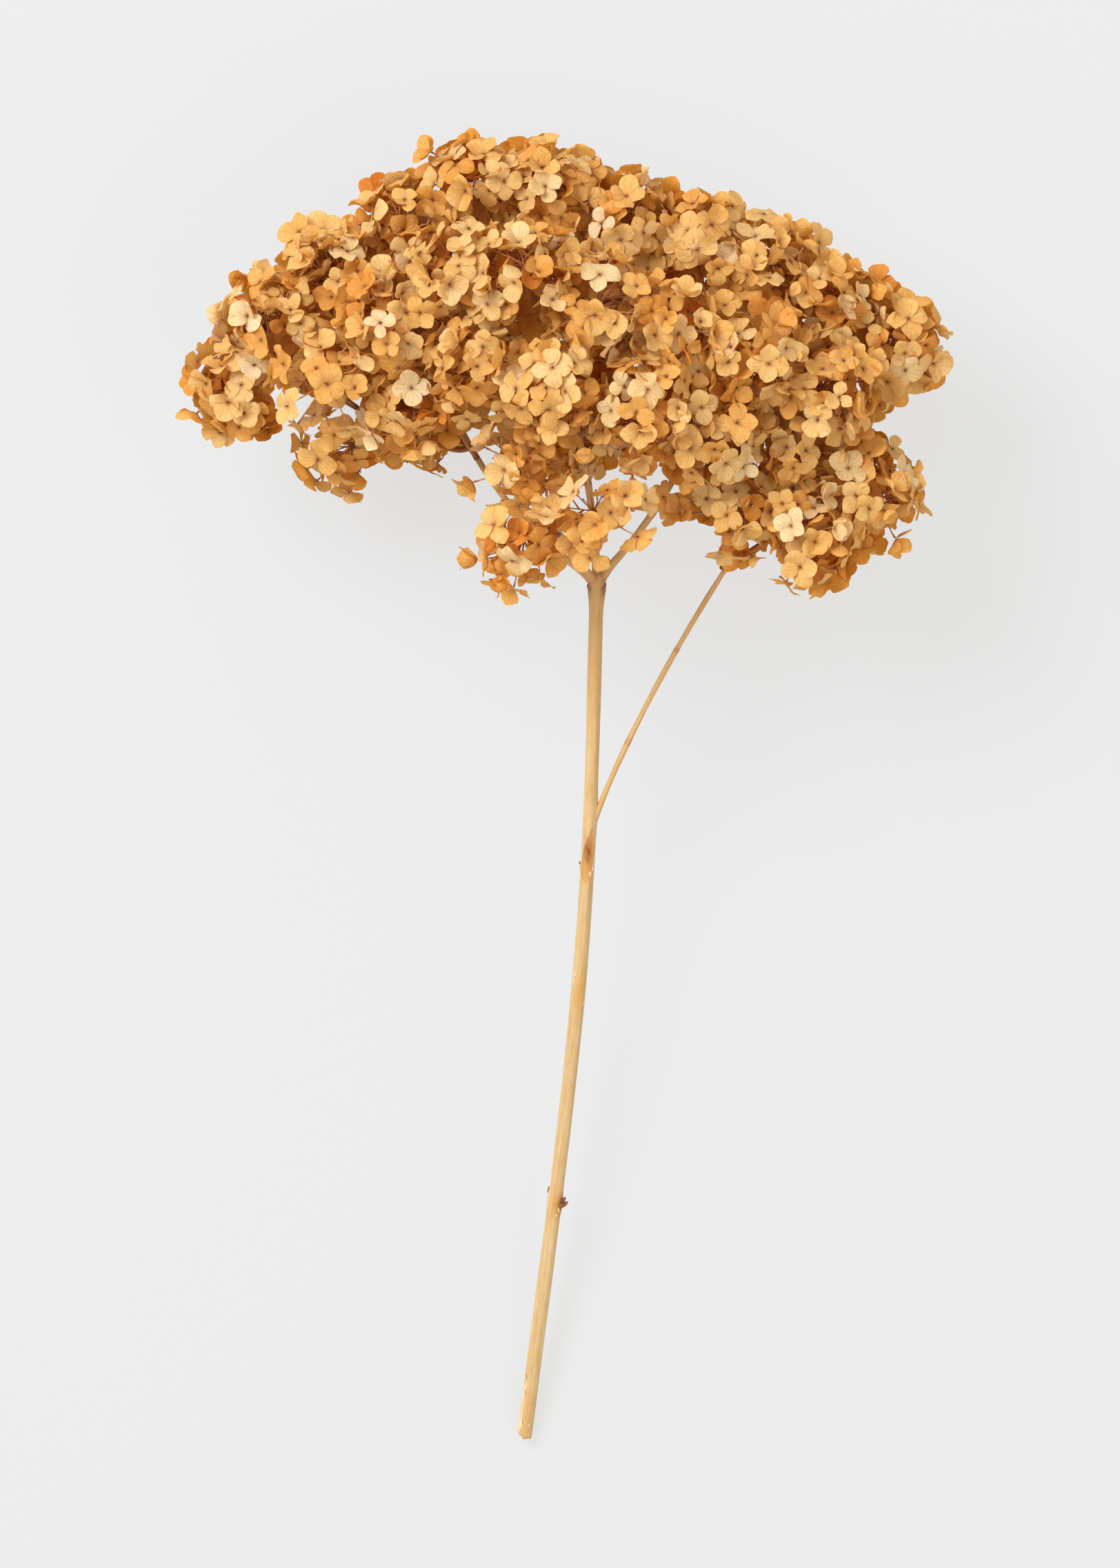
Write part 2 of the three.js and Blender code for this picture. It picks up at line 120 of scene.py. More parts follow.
# Bare places, seen from above: x, y, radius, and the height above which nothing fills them.
BARE_PLACES = (
    (-93, 145, 11, 0), (-80, 145, 7, 0), (-104, 148, 9, 0), (-82, 110, 10, 0), (-93, 113, 8, 0),
    (-130, 127, 8, 0), (-141, 137, 9, 0), (-147, 148, 7, 0), (-140, 171, 8, 0), (-62, 240, 8, 0),
    (-69, 119, 9, 0), (-42, 118, 9, 0), (-33, 126, 9, 0), (-32, 104, 9, 0), (-28, 116, 9, 0),
    (-55, 117, 8, 0), (0, 250, 8, 0), (52, 96, 11, 0), (58, 84, 8, 0), (74, 86, 9, 0),
    (80, 82, 9, 0), (22, 90, 8, 0), (29, 98, 8, 0), (35, 106, 8, 0), (114, 206, 8, 0),
    (131, 98, 11, 0), (142, 100, 8, 0), (128, 129, 8, 0), (137, 147, 8, 0), (147, 166, 8, 0),
    (145, 180, 8, 0), (15, 190, 12, 95), (73, 181, 10, 90), (48, 194, 9, 90), (32, 201, 8, 90),
    (-13, 178, 10, 95), (-87, 201, 6, 80), (-36, 220, 6, 90), (97, 132, 9, 75),
    (-104, 166, 7, 85), (10, 158, 7, 100),
)

# Florets that reach out past the rest at the head's edge: x and y of each.
EDGE_FLORETS = (
    (-101, 212), (-83, 151), (-51, 243), (38, 111), (42, 105), (64, 222), (76, 219), (97, 208),
    (131, 185),
)

# Twigs.
PEDICEL_RADIUS = 0.3
STALK_RADIUS = 0.8
EYE_RADIUS = 0.46
BUDS_PER_CLUSTER = 14
BUD_RADIUS = 0.42
KNOB_RADIUS = 1.25
TWIG_SIDES = 6
LIMB_SIDES = 16
LIMB_STATIONS = 16  # where a limb is cut across to find its middle line

# Main stem. Levels are distances along the flower's length from the stem's cut end, so a level is a
# bit less than the length of stem below it, because the stem also rises off the surface.
STEM_RADIUS = 2.8
STEM_TOP_RADIUS = 2.65
STEM_SIDES = 48
STEM_RING_SPACING = 0.9
BUD_SIDES = 10
BUD_KNOT = 91.0
STAIN = 169.0
PEELED_FROM, PEELED_TO = 213.5, 235.0
PEELED_CORE = 224.5
LEFT_BUD = 220.0
BRANCH_COLLAR = 236.0
FORK_SCARS = 327.0

# Buds and scars on the stem: level, angle round it in degrees (0 right, 90 towards the camera),
# length, radius, how far it leans out in degrees, and how pale it is.
STEM_BUDS = (
    (93.6, 180, 2.6, 0.7, 4, 0.5),
    (89.8, 18, 3.6, 0.75, 46, 0.4),
    (90.8, 34, 2.6, 0.7, 34, 0.3),
    (89.2, 44, 2.0, 0.6, 50, 0.46),
    (91.6, 4, 2.4, 0.6, 30, 0.36),
    (LEFT_BUD, 172, 1.2, 0.45, 24, 0.4),
    (326.0, 172, 1.6, 0.55, 16, 0.42),
    (327.2, 30, 1.6, 0.55, 20, 0.42),
)

# Torn flakes of pale bark: level, angle, length, width and lean, and up or down the stem.
STEM_FLAKES = (
    (4.0, 128, 4.2, 1.1, 5, 1),
    (14.0, 135, 4.6, 1.0, 5, 1),
    (22.0, 140, 3.6, 0.9, 8, 1),
    (4.6, 68, 1.8, 0.9, 7, 1),
    (89.4, 52, 2.2, 1.0, 9, -1),
    (87.6, 60, 2.0, 0.8, 8, -1),
    (173.0, 150, 2.2, 0.7, 9, -1),
    (166.0, 36, 2.4, 0.7, 9, 1),
    (180.0, 125, 2.4, 0.6, 8, -1),
    (214.5, 62, 3.8, 0.9, 7, 1),
    (218.0, 48, 2.6, 0.7, 8, 1),
    (233.5, 72, 2.6, 0.8, 7, 1),
)

# Limb, what it grows out of, and how far below its foot it leaves the middle of that piece.
LIMBS = {
    "left_limb": ("main_stem", 5.0),
    "centre_limb": ("main_stem", 5.0),
    "right_limb": ("main_stem", 5.0),
    "front_limb": ("main_stem", 4.0),
    "side_branch": ("main_stem", 16.0),
    "left_outer_limb": ("left_limb", 3.0),
    "centre_right_limb": ("centre_limb", 3.0),
    "right_outer_limb": ("right_limb", 3.0),
    "side_branch_fork": ("side_branch", 3.0),
}
FLARE = {"main_stem": (0.95, 5.0)}  # of limbs' feet: how much wider, and how far that lasts
SMALL_FLARE = (0.4, 2.5)  # of the side branch and of limbs on limbs
LIMB_JOINTS = (0.33, 0.66)  # of the limb's length
LIMB_SCAR, LIMB_BLEACH = 0.5, 0.15  # how brown and how pale a limb's bark is


def colour(red, green, blue):
    """A display colour, 0 to 255, as the linear colour that shaders use."""
    shares = [part / 255 for part in (red, green, blue)]
    linear = [c / 12.92 if c < 10 / 255 else ((c + 0.055) / 1.055) ** 2.4 for c in shares]
    return (*linear, 1.0)


# ------------------------------------------------------------------ node trees in Python


def operator(operation, turned=False):
    """A method of Value that adds an operation's Math node. It is turned where Value is second."""

    def method(self, other):
        return self.maths(operation, *((other, self) if turned else (self, other)))

    return method


class Value:
    """A socket that Python's operators work on. Each operation adds its Math node."""

    __add__, __radd__ = operator("ADD"), operator("ADD", turned=True)
    __sub__, __rsub__ = operator("SUBTRACT"), operator("SUBTRACT", turned=True)
    __mul__, __rmul__ = operator("MULTIPLY"), operator("MULTIPLY", turned=True)
    __truediv__, __pow__ = operator("DIVIDE"), operator("POWER")

    def __init__(self, nodes, socket):
        self.nodes = nodes
        self.socket = socket

    def maths(self, operation, *values):
        return self.nodes.add("ShaderNodeMath", dict(enumerate(values)), operation=operation)

    def __abs__(self):
        return self.maths("ABSOLUTE", self)

    def sine(self):
        return self.maths("SINE", self)

    def step(self, low, high):
        """0 below low and 1 above high, smooth between, or turned round where low is above high."""
        ends = {0: self, 1: min(low, high), 2: max(low, high)}
        ends |= {3: 0.0, 4: 1.0} if low < high else {3: 1.0, 4: 0.0}
        return self.nodes.add("ShaderNodeMapRange", ends, interpolation_type="SMOOTHSTEP")


class Nodes:
    """A node tree being built."""

    def __init__(self, tree):
        self.tree = tree
        tree.nodes.clear()

    def add(self, kind, inputs=None, output=0, **settings):
        """A node of this kind, with its settings made first.

        inputs are values or links, by name or number."""
        node = self.tree.nodes.new(kind)
        for name, value in settings.items():
            if name == "stops":
                self.set_stops(node.color_ramp, value)
            else:
                setattr(node, name, value)
        for key, value in (inputs or {}).items():
            if isinstance(value, Value):
                self.tree.links.new(value.socket, node.inputs[key])
            else:
                node.inputs[key].default_value = value
        return Value(self, node.outputs[output]) if node.outputs else node

    def set_stops(self, ramp, stops):
        while len(ramp.elements) < len(stops):
            ramp.elements.new(0.5)
        for element, (place, shade) in zip(ramp.elements, stops):
            element.position = place
            element.color = shade

    def mix(self, share, one, other):
        """A colour between two, by share."""
        node = self.tree.nodes.new("ShaderNodeMix")
        node.data_type = "RGBA"
        sockets = [node.inputs[0], node.inputs[6], node.inputs[7]]
        for socket, value in zip(sockets, (share, one, other)):
            if isinstance(value, Value):
                self.tree.links.new(value.socket, socket)
            else:
                socket.default_value = value
        return Value(self, node.outputs[2])

    def attribute(self, name):
        """A number that the mesh holds."""
        return self.add("ShaderNodeAttribute", output=2, attribute_name=name)

    def noise(self, vector, scale, detail=2.0, roughness=0.5):
        inputs = {"Vector": vector, "Scale": scale, "Detail": detail, "Roughness": roughness}
        return self.add("ShaderNodeTexNoise", inputs)

    def combine(self, x, y, z):
        return self.add("ShaderNodeCombineXYZ", {0: x, 1: y, 2: z})

    def uv(self, name):
        """The U and V of a UV map."""
        flat = self.add("ShaderNodeUVMap", uv_map=name)
        split = self.tree.nodes.new("ShaderNodeSeparateXYZ")
        self.tree.links.new(flat.socket, split.inputs[0])
        return Value(self, split.outputs[0]), Value(self, split.outputs[1])

    def ramp(self, shades, value):
        """The colour at value in shades, each a place from 0 to 1 and its colour."""
        return self.add("ShaderNodeValToRGB", {0: value}, stops=shades)


def new_material(name):
    material = bpy.data.materials.new(name)
    material.use_nodes = True
    return material, Nodes(material.node_tree)


def principled(nodes, base, roughness, height, depth, strength, specular):
    """A Principled shader whose bump comes from height, depth millimetres deep."""
    bump_inputs = {"Height": height, "Distance": depth * MM, "Strength": strength}
    bump = nodes.add("ShaderNodeBump", bump_inputs)
    inputs = {
        "Base Color": base,
        "Roughness": roughness,
        "Normal": bump,
        "Specular IOR Level": specular,
    }
    return nodes.add("ShaderNodeBsdfPrincipled", inputs)


def output(nodes, shader):
    nodes.add("ShaderNodeOutputMaterial", {"Surface": shader})


# ------------------------------------------------------------------ finishes


def petal_finish():
    """Golden papery petals: fine brown veins, a brown claw, mottling, and light through them."""
    material, nodes = new_material("dried petal")
    u, along = nodes.uv("petal")
    across = u - 0.5
    seed = nodes.attribute("seed")
    tone = nodes.attribute("tone")
    margin = nodes.attribute("margin")
    place = nodes.combine(u, along, seed * 40.0)

    # Veins fan out from the claw, and wander a little.
    wander = nodes.noise(place, 3.0, 1.0)
    reach = (across * across + along * along) ** 0.5
    angle = across.maths("ARCTAN2", across, along + 0.08) + (wander - 0.5) * 0.35
    fan = 10.0
    vein_distance = abs((angle * fan).sine()) * reach / fan
    veins = vein_distance.step(0.013, 0.002)
    inputs = {"Vector": place, "Scale": 13.0}
    cells = nodes.add("ShaderNodeTexVoronoi", inputs, feature="DISTANCE_TO_EDGE")
    network = cells.step(0.07, 0.0)

    mottle = nodes.noise(place, 4.5, 3.0, 0.6)
    grain = nodes.noise(place, 16.0, 3.0, 0.7)
    flecks = nodes.noise(place, 26.0, 2.0).step(0.68, 0.78)
    shades = [
        (0.0, colour(216, 122, 28)),
        (0.3, colour(236, 172, 74)),
        (0.55, colour(242, 204, 120)),
        (0.8, colour(246, 225, 162)),
        (1.0, colour(250, 241, 202)),
    ]
    place_in_shades = tone + (mottle - 0.5) * 0.62 + (grain - 0.5) * 0.3 - network * 0.13
    base = nodes.ramp(shades, place_in_shades)
    base = nodes.mix(veins * 0.52, base, colour(166, 94, 36))
    base = nodes.mix(reach.step(0.26, 0.03) * 0.42, base, colour(150, 82, 34))
    base = nodes.mix(margin.step(0.72, 1.0) * 0.1, base, colour(176, 106, 50))
    base = nodes.mix(flecks * 0.35, base, colour(140, 78, 36))

    crumple = nodes.noise(place, 7.0, 4.0, 0.6)
    height = veins * 0.5 + network * 0.4 + crumple * 1.6
    roughness = 0.48 + mottle * 0.2
    surface = principled(nodes, base, roughness, height, 0.3, 0.5, 0.5)
    through = nodes.add("ShaderNodeBsdfTranslucent", {"Color": colour(253, 214, 124)})
    output(nodes, nodes.add("ShaderNodeMixShader", {0: 0.46, 1: surface, 2: through}))
    return material


def twig_finish():
    """Pinkish-brown pedicels and dark buds: the mesh says how dark each is."""
    material, nodes = new_material("dried pedicel")
    place = nodes.add("ShaderNodeTexCoord", output=3)
    grain = nodes.noise(place, 900.0, 3.0)
    patches = nodes.noise(place, 160.0, 2.0)
    tone = nodes.attribute("tone")
    shades = [
        (0.0, colour(70, 40, 22)),
        (0.35, colour(128, 76, 42)),
        (0.7, colour(184, 120, 72)),
        (1.0, colour(212, 158, 104)),
    ]
    base = nodes.ramp(shades, tone + (patches - 0.5) * 0.3)
    roughness = 0.6 + grain * 0.2
    output(nodes, principled(nodes, base, roughness, grain, 0.12, 0.5, 0.3))
    return material


def bark_finish(name, shades, knot_shade, scar_shade, fibre_contrast):
    """Dry bark or bare stem: long fibres along it, its own darker knots and scars, and its
    paleness, which on the stem also holds painted light.
    """
    material, nodes = new_material(name)
    around, along = nodes.uv("bark")
    knot = nodes.attribute("knot")
    scar = nodes.attribute("scar")
    bleach = nodes.attribute("bleach")

    def fibres(across, lengthways, offset, detail, roughness=0.5):
        """Noise that changes so fast across and along the bar, per millimetre."""
        place = nodes.combine(around * across, along * lengthways, offset)
        return nodes.noise(place, 1.0, detail, roughness)

    fine = fibres(5.0, 0.16, 0.0, 4.0, 0.65)
    broad = fibres(0.9, 0.035, 7.0, 3.0)
    stains = fibres(0.5, 0.12, 3.0, 4.0, 0.6)
    specks = fibres(3.0, 1.2, 11.0, 2.0).step(0.7, 0.76)
    cracks = fibres(7.0, 0.1, 19.0, 3.0).step(0.64, 0.72)

    tone = 0.5 + (fine - 0.5) * fibre_contrast + (broad - 0.5) * 0.7 + (stains - 0.5) * 0.5
    # Paleness lightens the bark; on the stem part of it is painted light.
    base = nodes.ramp(shades, tone + bleach * 0.35)
    base = nodes.mix(cracks * 0.3, base, shades[0][1])
    base = nodes.mix(scar * (0.5 + fine * 0.8), base, scar_shade)
    base = nodes.mix(specks * 0.4, base, knot_shade)
    base = nodes.mix(knot * (0.35 + fine * 0.5 + stains * 0.6), base, knot_shade)

    height = fine + broad * 0.6 - cracks * 0.6 + knot * stains
    roughness = 0.5 + fine * 0.3
    output(nodes, principled(nodes, base, roughness, height, 0.3, 0.55, 0.3))
    return material


def flake_finish():
    """Pale torn bark, with fibres along it."""
    material, nodes = new_material("torn bark")
    across, along = nodes.uv("petal")
    fibres = nodes.noise(nodes.combine(across * 14.0, along * 1.5, 0.0), 1.0, 3.0)
    base = nodes.mix(fibres, colour(212, 176, 122), colour(234, 214, 172))
    output(nodes, principled(nodes, base, 0.7 + fibres * 0.15, fibres, 0.1, 0.5, 0.3))
    return material


def stem_finish():
    shades = [
        (0.0, colour(168, 122, 70)),
        (0.35, colour(192, 154, 100)),
        (0.65, colour(205, 175, 127)),
        (1.0, colour(220, 203, 172)),
    ]
    return bark_finish("straw stem", shades, colour(120, 60, 24), colour(200, 142, 72), 0.7)


def limb_finish():
    shades = [
        (0.0, colour(128, 74, 38)),
        (0.4, colour(176, 114, 64)),
        (0.7, colour(205, 146, 90)),
        (1.0, colour(226, 180, 124)),
    ]
    return bark_finish("limb bark", shades, colour(104, 62, 34), colour(150, 88, 44), 0.8)


PETAL = petal_finish()
TWIG = twig_finish()
FLAKE = flake_finish()
STEM_BARK = stem_finish()
LIMB_BARK = limb_finish()


# ------------------------------------------------------------------ meshes


def set_numbers(mesh, name, kind, domain, values):
    """Gives a mesh an attribute. Vectors are flattened."""
    attribute = mesh.attributes.new(name, kind, domain)
    key = "vector" if kind == "FLOAT_VECTOR" else "value"
    attribute.data.foreach_set(key, np.asarray(values).ravel())


def places_of(mesh, kind=np.float64):
    """A mesh's vertices, a row for each."""
    places = np.zeros(len(mesh.vertices) * 3, dtype=kind)
    mesh.vertices.foreach_get("co", places)
    return places.reshape(-1, 3)


def set_uv(mesh, name, places):
    """A UV map from one place for each vertex."""
    corners = np.zeros(len(mesh.loops), dtype=np.int32)
    mesh.loops.foreach_get("vertex_index", corners)
    layer = mesh.uv_layers.new(name=name)
    layer.data.foreach_set("uv", np.asarray(places, dtype=np.float32)[corners].ravel())


def add_object(name, mesh):
    piece = bpy.data.objects.new(name, mesh)
    bpy.context.scene.collection.objects.link(piece)
    return piece


def finish_piece(piece, slot, *nodes):
    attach(piece, BODY)
    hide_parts(*nodes)


def unit(vector):
    return vector / np.linalg.norm(vector)


# ------------------------------------------------------------------ what the frame holds


def merged(node):
    """A CAD node's vertices and triangles, with its doubles merged."""
    mesh = frame["nodes"][node].data
    mesh.calc_loop_triangles()
    triangles = np.zeros(len(mesh.loop_triangles) * 3, dtype=np.int32)
    mesh.loop_triangles.foreach_get("vertices", triangles)
    rounded = np.round(places_of(mesh), 6)
    vertices, index = np.unique(rounded, axis=0, return_inverse=True)
    return vertices, index.ravel()[triangles].reshape(-1, 3)


def seats(node):
    """A cluster's florets: each has a middle with 12 triangles round it, and the middle's rim."""
    vertices, triangles = merged(node)
    count = np.bincount(triangles.ravel(), minlength=len(vertices))
    found = []
    for middle in np.flatnonzero(count == 3 * PETALS_PER_FLORET):
        round_it = triangles[(triangles == middle).any(axis=1)]
        rim = vertices[np.setdiff1d(round_it, [middle])]
        centre = vertices[middle]
        if len(rim) != 3 * PETALS_PER_FLORET:
            continue
        faces = unit(rim.mean(axis=0) - centre)
        out = rim - centre - np.outer((rim - centre) @ faces, faces)
        reach = np.linalg.norm(out, axis=1)
        if not LEAST_REACH * MM <= reach.min() <= reach.max() <= MOST_REACH * MM:
            continue
        if reach.std() < LEAST_NOTCH * MM:
            continue
        notch = unit(out[reach.argmin()])
        found.append({"centre": centre, "faces": faces, "radius": reach.max(), "notch": notch})
    return found


def crossing(lines):
    """The point nearest to several lines, each a point and a direction."""
    total, target = np.zeros((3, 3)), np.zeros(3)
    for point, direction in lines:
        flatten = np.eye(3) - np.outer(direction, direction)
        total += flatten
        target += flatten @ point
    return np.linalg.solve(total, target)


def stalk_foot(node, knob, florets):
    """Where a cluster's stalk starts: its furthest point from the knob that is on no floret."""
    vertices, _ = merged(node)
    free = np.ones(len(vertices), dtype=bool)
    for floret in florets:
        off = vertices - floret["centre"]
        height = off @ floret["faces"]
        out = np.linalg.norm(off - np.outer(height, floret["faces"]), axis=1)
        inside = out < floret["radius"] + 0.1 * MM
        free &= ~((abs(height) < SEAT_HALF_HEIGHT * MM) & inside)
    places = vertices[free]
    distance = np.linalg.norm(places - knob, axis=1)
    end = places[distance.argmax()]
    near = places[np.linalg.norm(places - end, axis=1) < FOOT_LENGTH * MM]
    return near.mean(axis=0)


def section(vertices, triangles, point, normal):
    """The middle and mean radius of a bar where a plane cuts it, or None where it doesn't."""
    side = (vertices - point) @ normal
    edges = np.vstack([triangles[:, [0, 1]], triangles[:, [1, 2]], triangles[:, [2, 0]]])
    cut = edges[side[edges[:, 0]] * side[edges[:, 1]] < 0]
    if not len(cut):
        return None
    start, end = side[cut[:, 0]], side[cut[:, 1]]
    share = (start / (start - end))[:, None]
    hits = vertices[cut[:, 0]] * (1 - share) + vertices[cut[:, 1]] * share
    middle = hits.mean(axis=0)
    return middle, np.linalg.norm(hits - middle, axis=1).mean()


def spine(node, parent, stations):
    """A limb's middle line and radii, from the end that is nearer to its parent."""
    vertices, triangles = merged(node)
    trunk, _ = merged(parent)
    first = vertices[np.linalg.norm(vertices - vertices.mean(axis=0), axis=1).argmax()]
    second = vertices[np.linalg.norm(vertices - first, axis=1).argmax()]
    gaps = [np.linalg.norm(trunk - end, axis=1).min() for end in (first, second)]
    foot, tip = (first, second) if gaps[0] < gaps[1] else (second, first)
    chord = unit(tip - foot)
    points, radii = [], []
    inset = 2.0 * MM
    for travel in np.linspace(inset, np.linalg.norm(tip - foot) - inset, stations):
        found = section(vertices, triangles, foot + chord * travel, chord)
        if found:
            points.append(found[0])
            radii.append(found[1])
    return np.array(points), np.array(radii)


# ------------------------------------------------------------------ round bars


def frames_along(points):
    """For each point of a line: the way along it, and two ways across it that don't twist."""
    along = np.gradient(points, axis=0)
    along /= np.linalg.norm(along, axis=1)[:, None]
    side = unit(np.cross(along[0], (0.0, 0.0, 1.0)) + 1e-9)
    sides, tops = [], []
    for way in along:
        side = unit(side - way * (side @ way))
        sides.append(side)
        tops.append(np.cross(side, way))
    return along, np.array(sides), np.array(tops)


def bar_mesh(name, points, radius_at, sides, marks_at):
    """A closed round bar along points.

    radius_at and marks_at take the travel along it, in millimetres, and the angle round it: 0 is
    its right side and a quarter turn its top. radius_at gives millimetres, and marks_at the bar's
    knot, scar and paleness, where the stem's paleness is partly painted light."""
    along, side, top = frames_along(points)
    steps = np.linalg.norm(np.diff(points, axis=0), axis=1)
    travel = np.concatenate([[0.0], np.cumsum(steps)]) / MM
    angle = np.arange(sides) * 2 * math.pi / sides - math.pi / 2
    far, turn = np.meshgrid(travel, angle, indexing="ij")
    radius = radius_at(far, turn) * MM
    rings = (
        points[:, None, :]
        + side[:, None, :] * (np.cos(turn) * radius)[..., None]
        + top[:, None, :] * (np.sin(turn) * radius)[..., None]
    )
    vertices = np.vstack([rings.reshape(-1, 3), points[:1], points[-1:]])
    rows = len(points)
    faces = []
    for row in range(rows - 1):
        for column in range(sides):
            beside = (column + 1) % sides
            faces.append((row * sides + column, row * sides + beside,
                          (row + 1) * sides + beside, (row + 1) * sides + column))
    first, last = rows * sides, rows * sides + 1
    for column in range(sides):
        beside = (column + 1) % sides
        faces.append((first, beside, column))
        faces.append((last, (rows - 1) * sides + column, (rows - 1) * sides + beside))
    mesh = bpy.data.meshes.new(name)
    mesh.from_pydata(vertices, [], faces)
    mesh.shade_smooth()

    spread = np.stack([turn * radius / MM, far], axis=-1).reshape(-1, 2)
    ends = [[0.0, travel[0]], [0.0, travel[-1]]]
    set_uv(mesh, "bark", np.vstack([spread, ends]))
    for mark, values in zip(("knot", "scar", "bleach"), marks_at(far, turn)):
        values = np.broadcast_to(values, far.shape)
        caps = [values[0].mean(), values[-1].mean()]
        set_numbers(mesh, mark, "FLOAT", "POINT", np.concatenate([values.ravel(), caps]))
    return mesh


def turned_out(mesh):
    """The same mesh with its faces pointing outwards."""
    shape = bmesh.new()
    shape.from_mesh(mesh)
    bmesh.ops.recalc_face_normals(shape, faces=shape.faces)
    shape.to_mesh(mesh)
    shape.free()
    return mesh


def joined(name, meshes):
    """One mesh of several that have the same attributes. The several are removed."""
    shape = bmesh.new()
    for mesh in meshes:
        shape.from_mesh(mesh)
        bpy.data.meshes.remove(mesh)
    whole = bpy.data.meshes.new(name)
    shape.to_mesh(whole)
    shape.free()
    return whole


def bump(values, centre, half):
    """A smooth hill, 1 at centre and nearly 0 past half either side."""
    return np.exp(-(((values - centre) / half) ** 2) * 2)


def toward(angle, way, half):
    """A smooth hill round a bar, 1 at the angle way and nearly 0 past half either side."""
    off = (angle - way + math.pi) % (2 * math.pi) - math.pi
    return np.exp(-((off / half) ** 2) * 2)


def spots(level, angle, rows):
    """Smooth hills on a bar: strength, level, half length, way round it and half width."""
    return sum(strength * bump(level, at, half) * toward(angle, way, width)
               for strength, at, half, way, width in rows)


RIGHT, TOP, LEFT = 0.0, math.pi / 2, math.pi

# Rows for spots(), on the stem.
STEM_LUMPS = (
    (0.3, BUD_KNOT + 2, 3.0, LEFT, 0.6),
    (0.3, BRANCH_COLLAR + 5, 9.0, RIGHT, 1.0),
    (0.3, LEFT_BUD, 3.0, LEFT, 0.5),
    (0.14, FORK_SCARS, 3.5, RIGHT + 0.4, 0.8),
    (0.14, FORK_SCARS, 3.5, LEFT, 0.8),
)
STEM_KNOTS = (
    (1.5, BUD_KNOT, 4.0, RIGHT + 0.6, 0.8),
    (1.2, FORK_SCARS - 1, 4.5, RIGHT + 0.6, 0.8),
    (1.2, FORK_SCARS - 1, 4.5, LEFT - 0.4, 0.8),
)
SMOOTH_KNOTS = (
    (0.6, LEFT_BUD, 2.5, LEFT, 0.5),
    (0.35, BRANCH_COLLAR, 5.0, RIGHT, 0.5),
)
STEM_STAINS = (
    (1.0, BUD_KNOT - 1, 9.0, TOP - 0.5, 1.2),
    (0.9, STAIN + 3, 11.0, TOP - 0.2, 0.9),
)


# ------------------------------------------------------------------ main stem


def stem_spine():
    """The stem's middle line, from its cut end to past the fork, smoothed over its knots."""
    vertices, triangles = merged("main_stem")
    low, high = vertices[:, 1].min(), vertices[:, 1].max()
    levels = np.linspace(low + 8 * MM, high - 12 * MM, 60)
    way = np.array((0, 1, 0))
    cuts = [section(vertices, triangles, way * level, way) for level in levels]
    middles = np.array([middle for middle, _ in cuts])
    across = np.polynomial.Polynomial.fit(middles[:, 1], middles[:, 0], 5)
    height = np.polynomial.Polynomial.fit(middles[:, 1], middles[:, 2], 5)
    count = int((high - low) / MM / STEM_RING_SPACING)
    y = np.linspace(low, high - 0.3 * MM, count)
    return np.stack([across(y), y, height(y)], axis=1)


def peeled(level, angle):
    """How far out a place is in the peeled patch: 0 along its middle and 1 at its edge.

    The patch leans to the right on its way up."""
    share = np.clip((level - PEELED_FROM) / (PEELED_TO - PEELED_FROM), 0.001, 0.999)
    middle = TOP + 0.2 - 0.75 * share**1.5
    half = 0.9 * np.sin(math.pi * share**0.8) ** 0.75
    off = (angle - middle + math.pi) % (2 * math.pi) - math.pi
    outside = np.maximum(PEELED_FROM - level, level - PEELED_TO)
    return abs(off) / half + np.clip(outside, 0, None)


def stem_radius(level, angle, height):
    """The stem's radius: flutes and fibres, its knots, its peeled patch and its fork."""
    radius = STEM_RADIUS + (STEM_TOP_RADIUS - STEM_RADIUS) * level / height
    radius = radius + 0.06 * np.sin(3 * angle + level * 0.012)
    radius += 0.04 * np.sin(5 * angle - level * 0.02)
    radius += 0.03 * np.sin(11 * angle + 1.5 * np.sin(level * 0.03))
    radius += 0.07 * np.sin(level * 0.045) + 0.04 * np.sin(level * 0.11 + 1.0)

    radius += 0.26 * bump(level, BUD_KNOT, 7.0)
    ragged = 1 + 0.5 * np.sin(level * 3.1 + angle * 7) * np.sin(level * 1.7 - angle * 4)
    radius += 0.45 * bump(level, BUD_KNOT - 0.5, 3.4) * toward(angle, RIGHT + 0.5, 0.8) * ragged
    radius += spots(level, angle, STEM_LUMPS)

    out = peeled(level, angle)
    radius += 0.16 * np.exp(-(((out - 1.08) / 0.16) ** 2)) - 0.3 * smooth(out, 1.0, 0.75)
    core = bump(level, PEELED_CORE, 3.5) * toward(angle, TOP + 0.1, 0.4)
    radius += 0.22 * core * (1 + np.sin(level * 4 + angle * 9) * 0.5)

    radius += 0.75 * smooth(level, height - 17, height - 5)
    top = np.clip((level - (height - 5.0)) / 5.0, 0, 1)
    return radius * np.sqrt(np.clip(1 - top**2, 0.0025, 1))


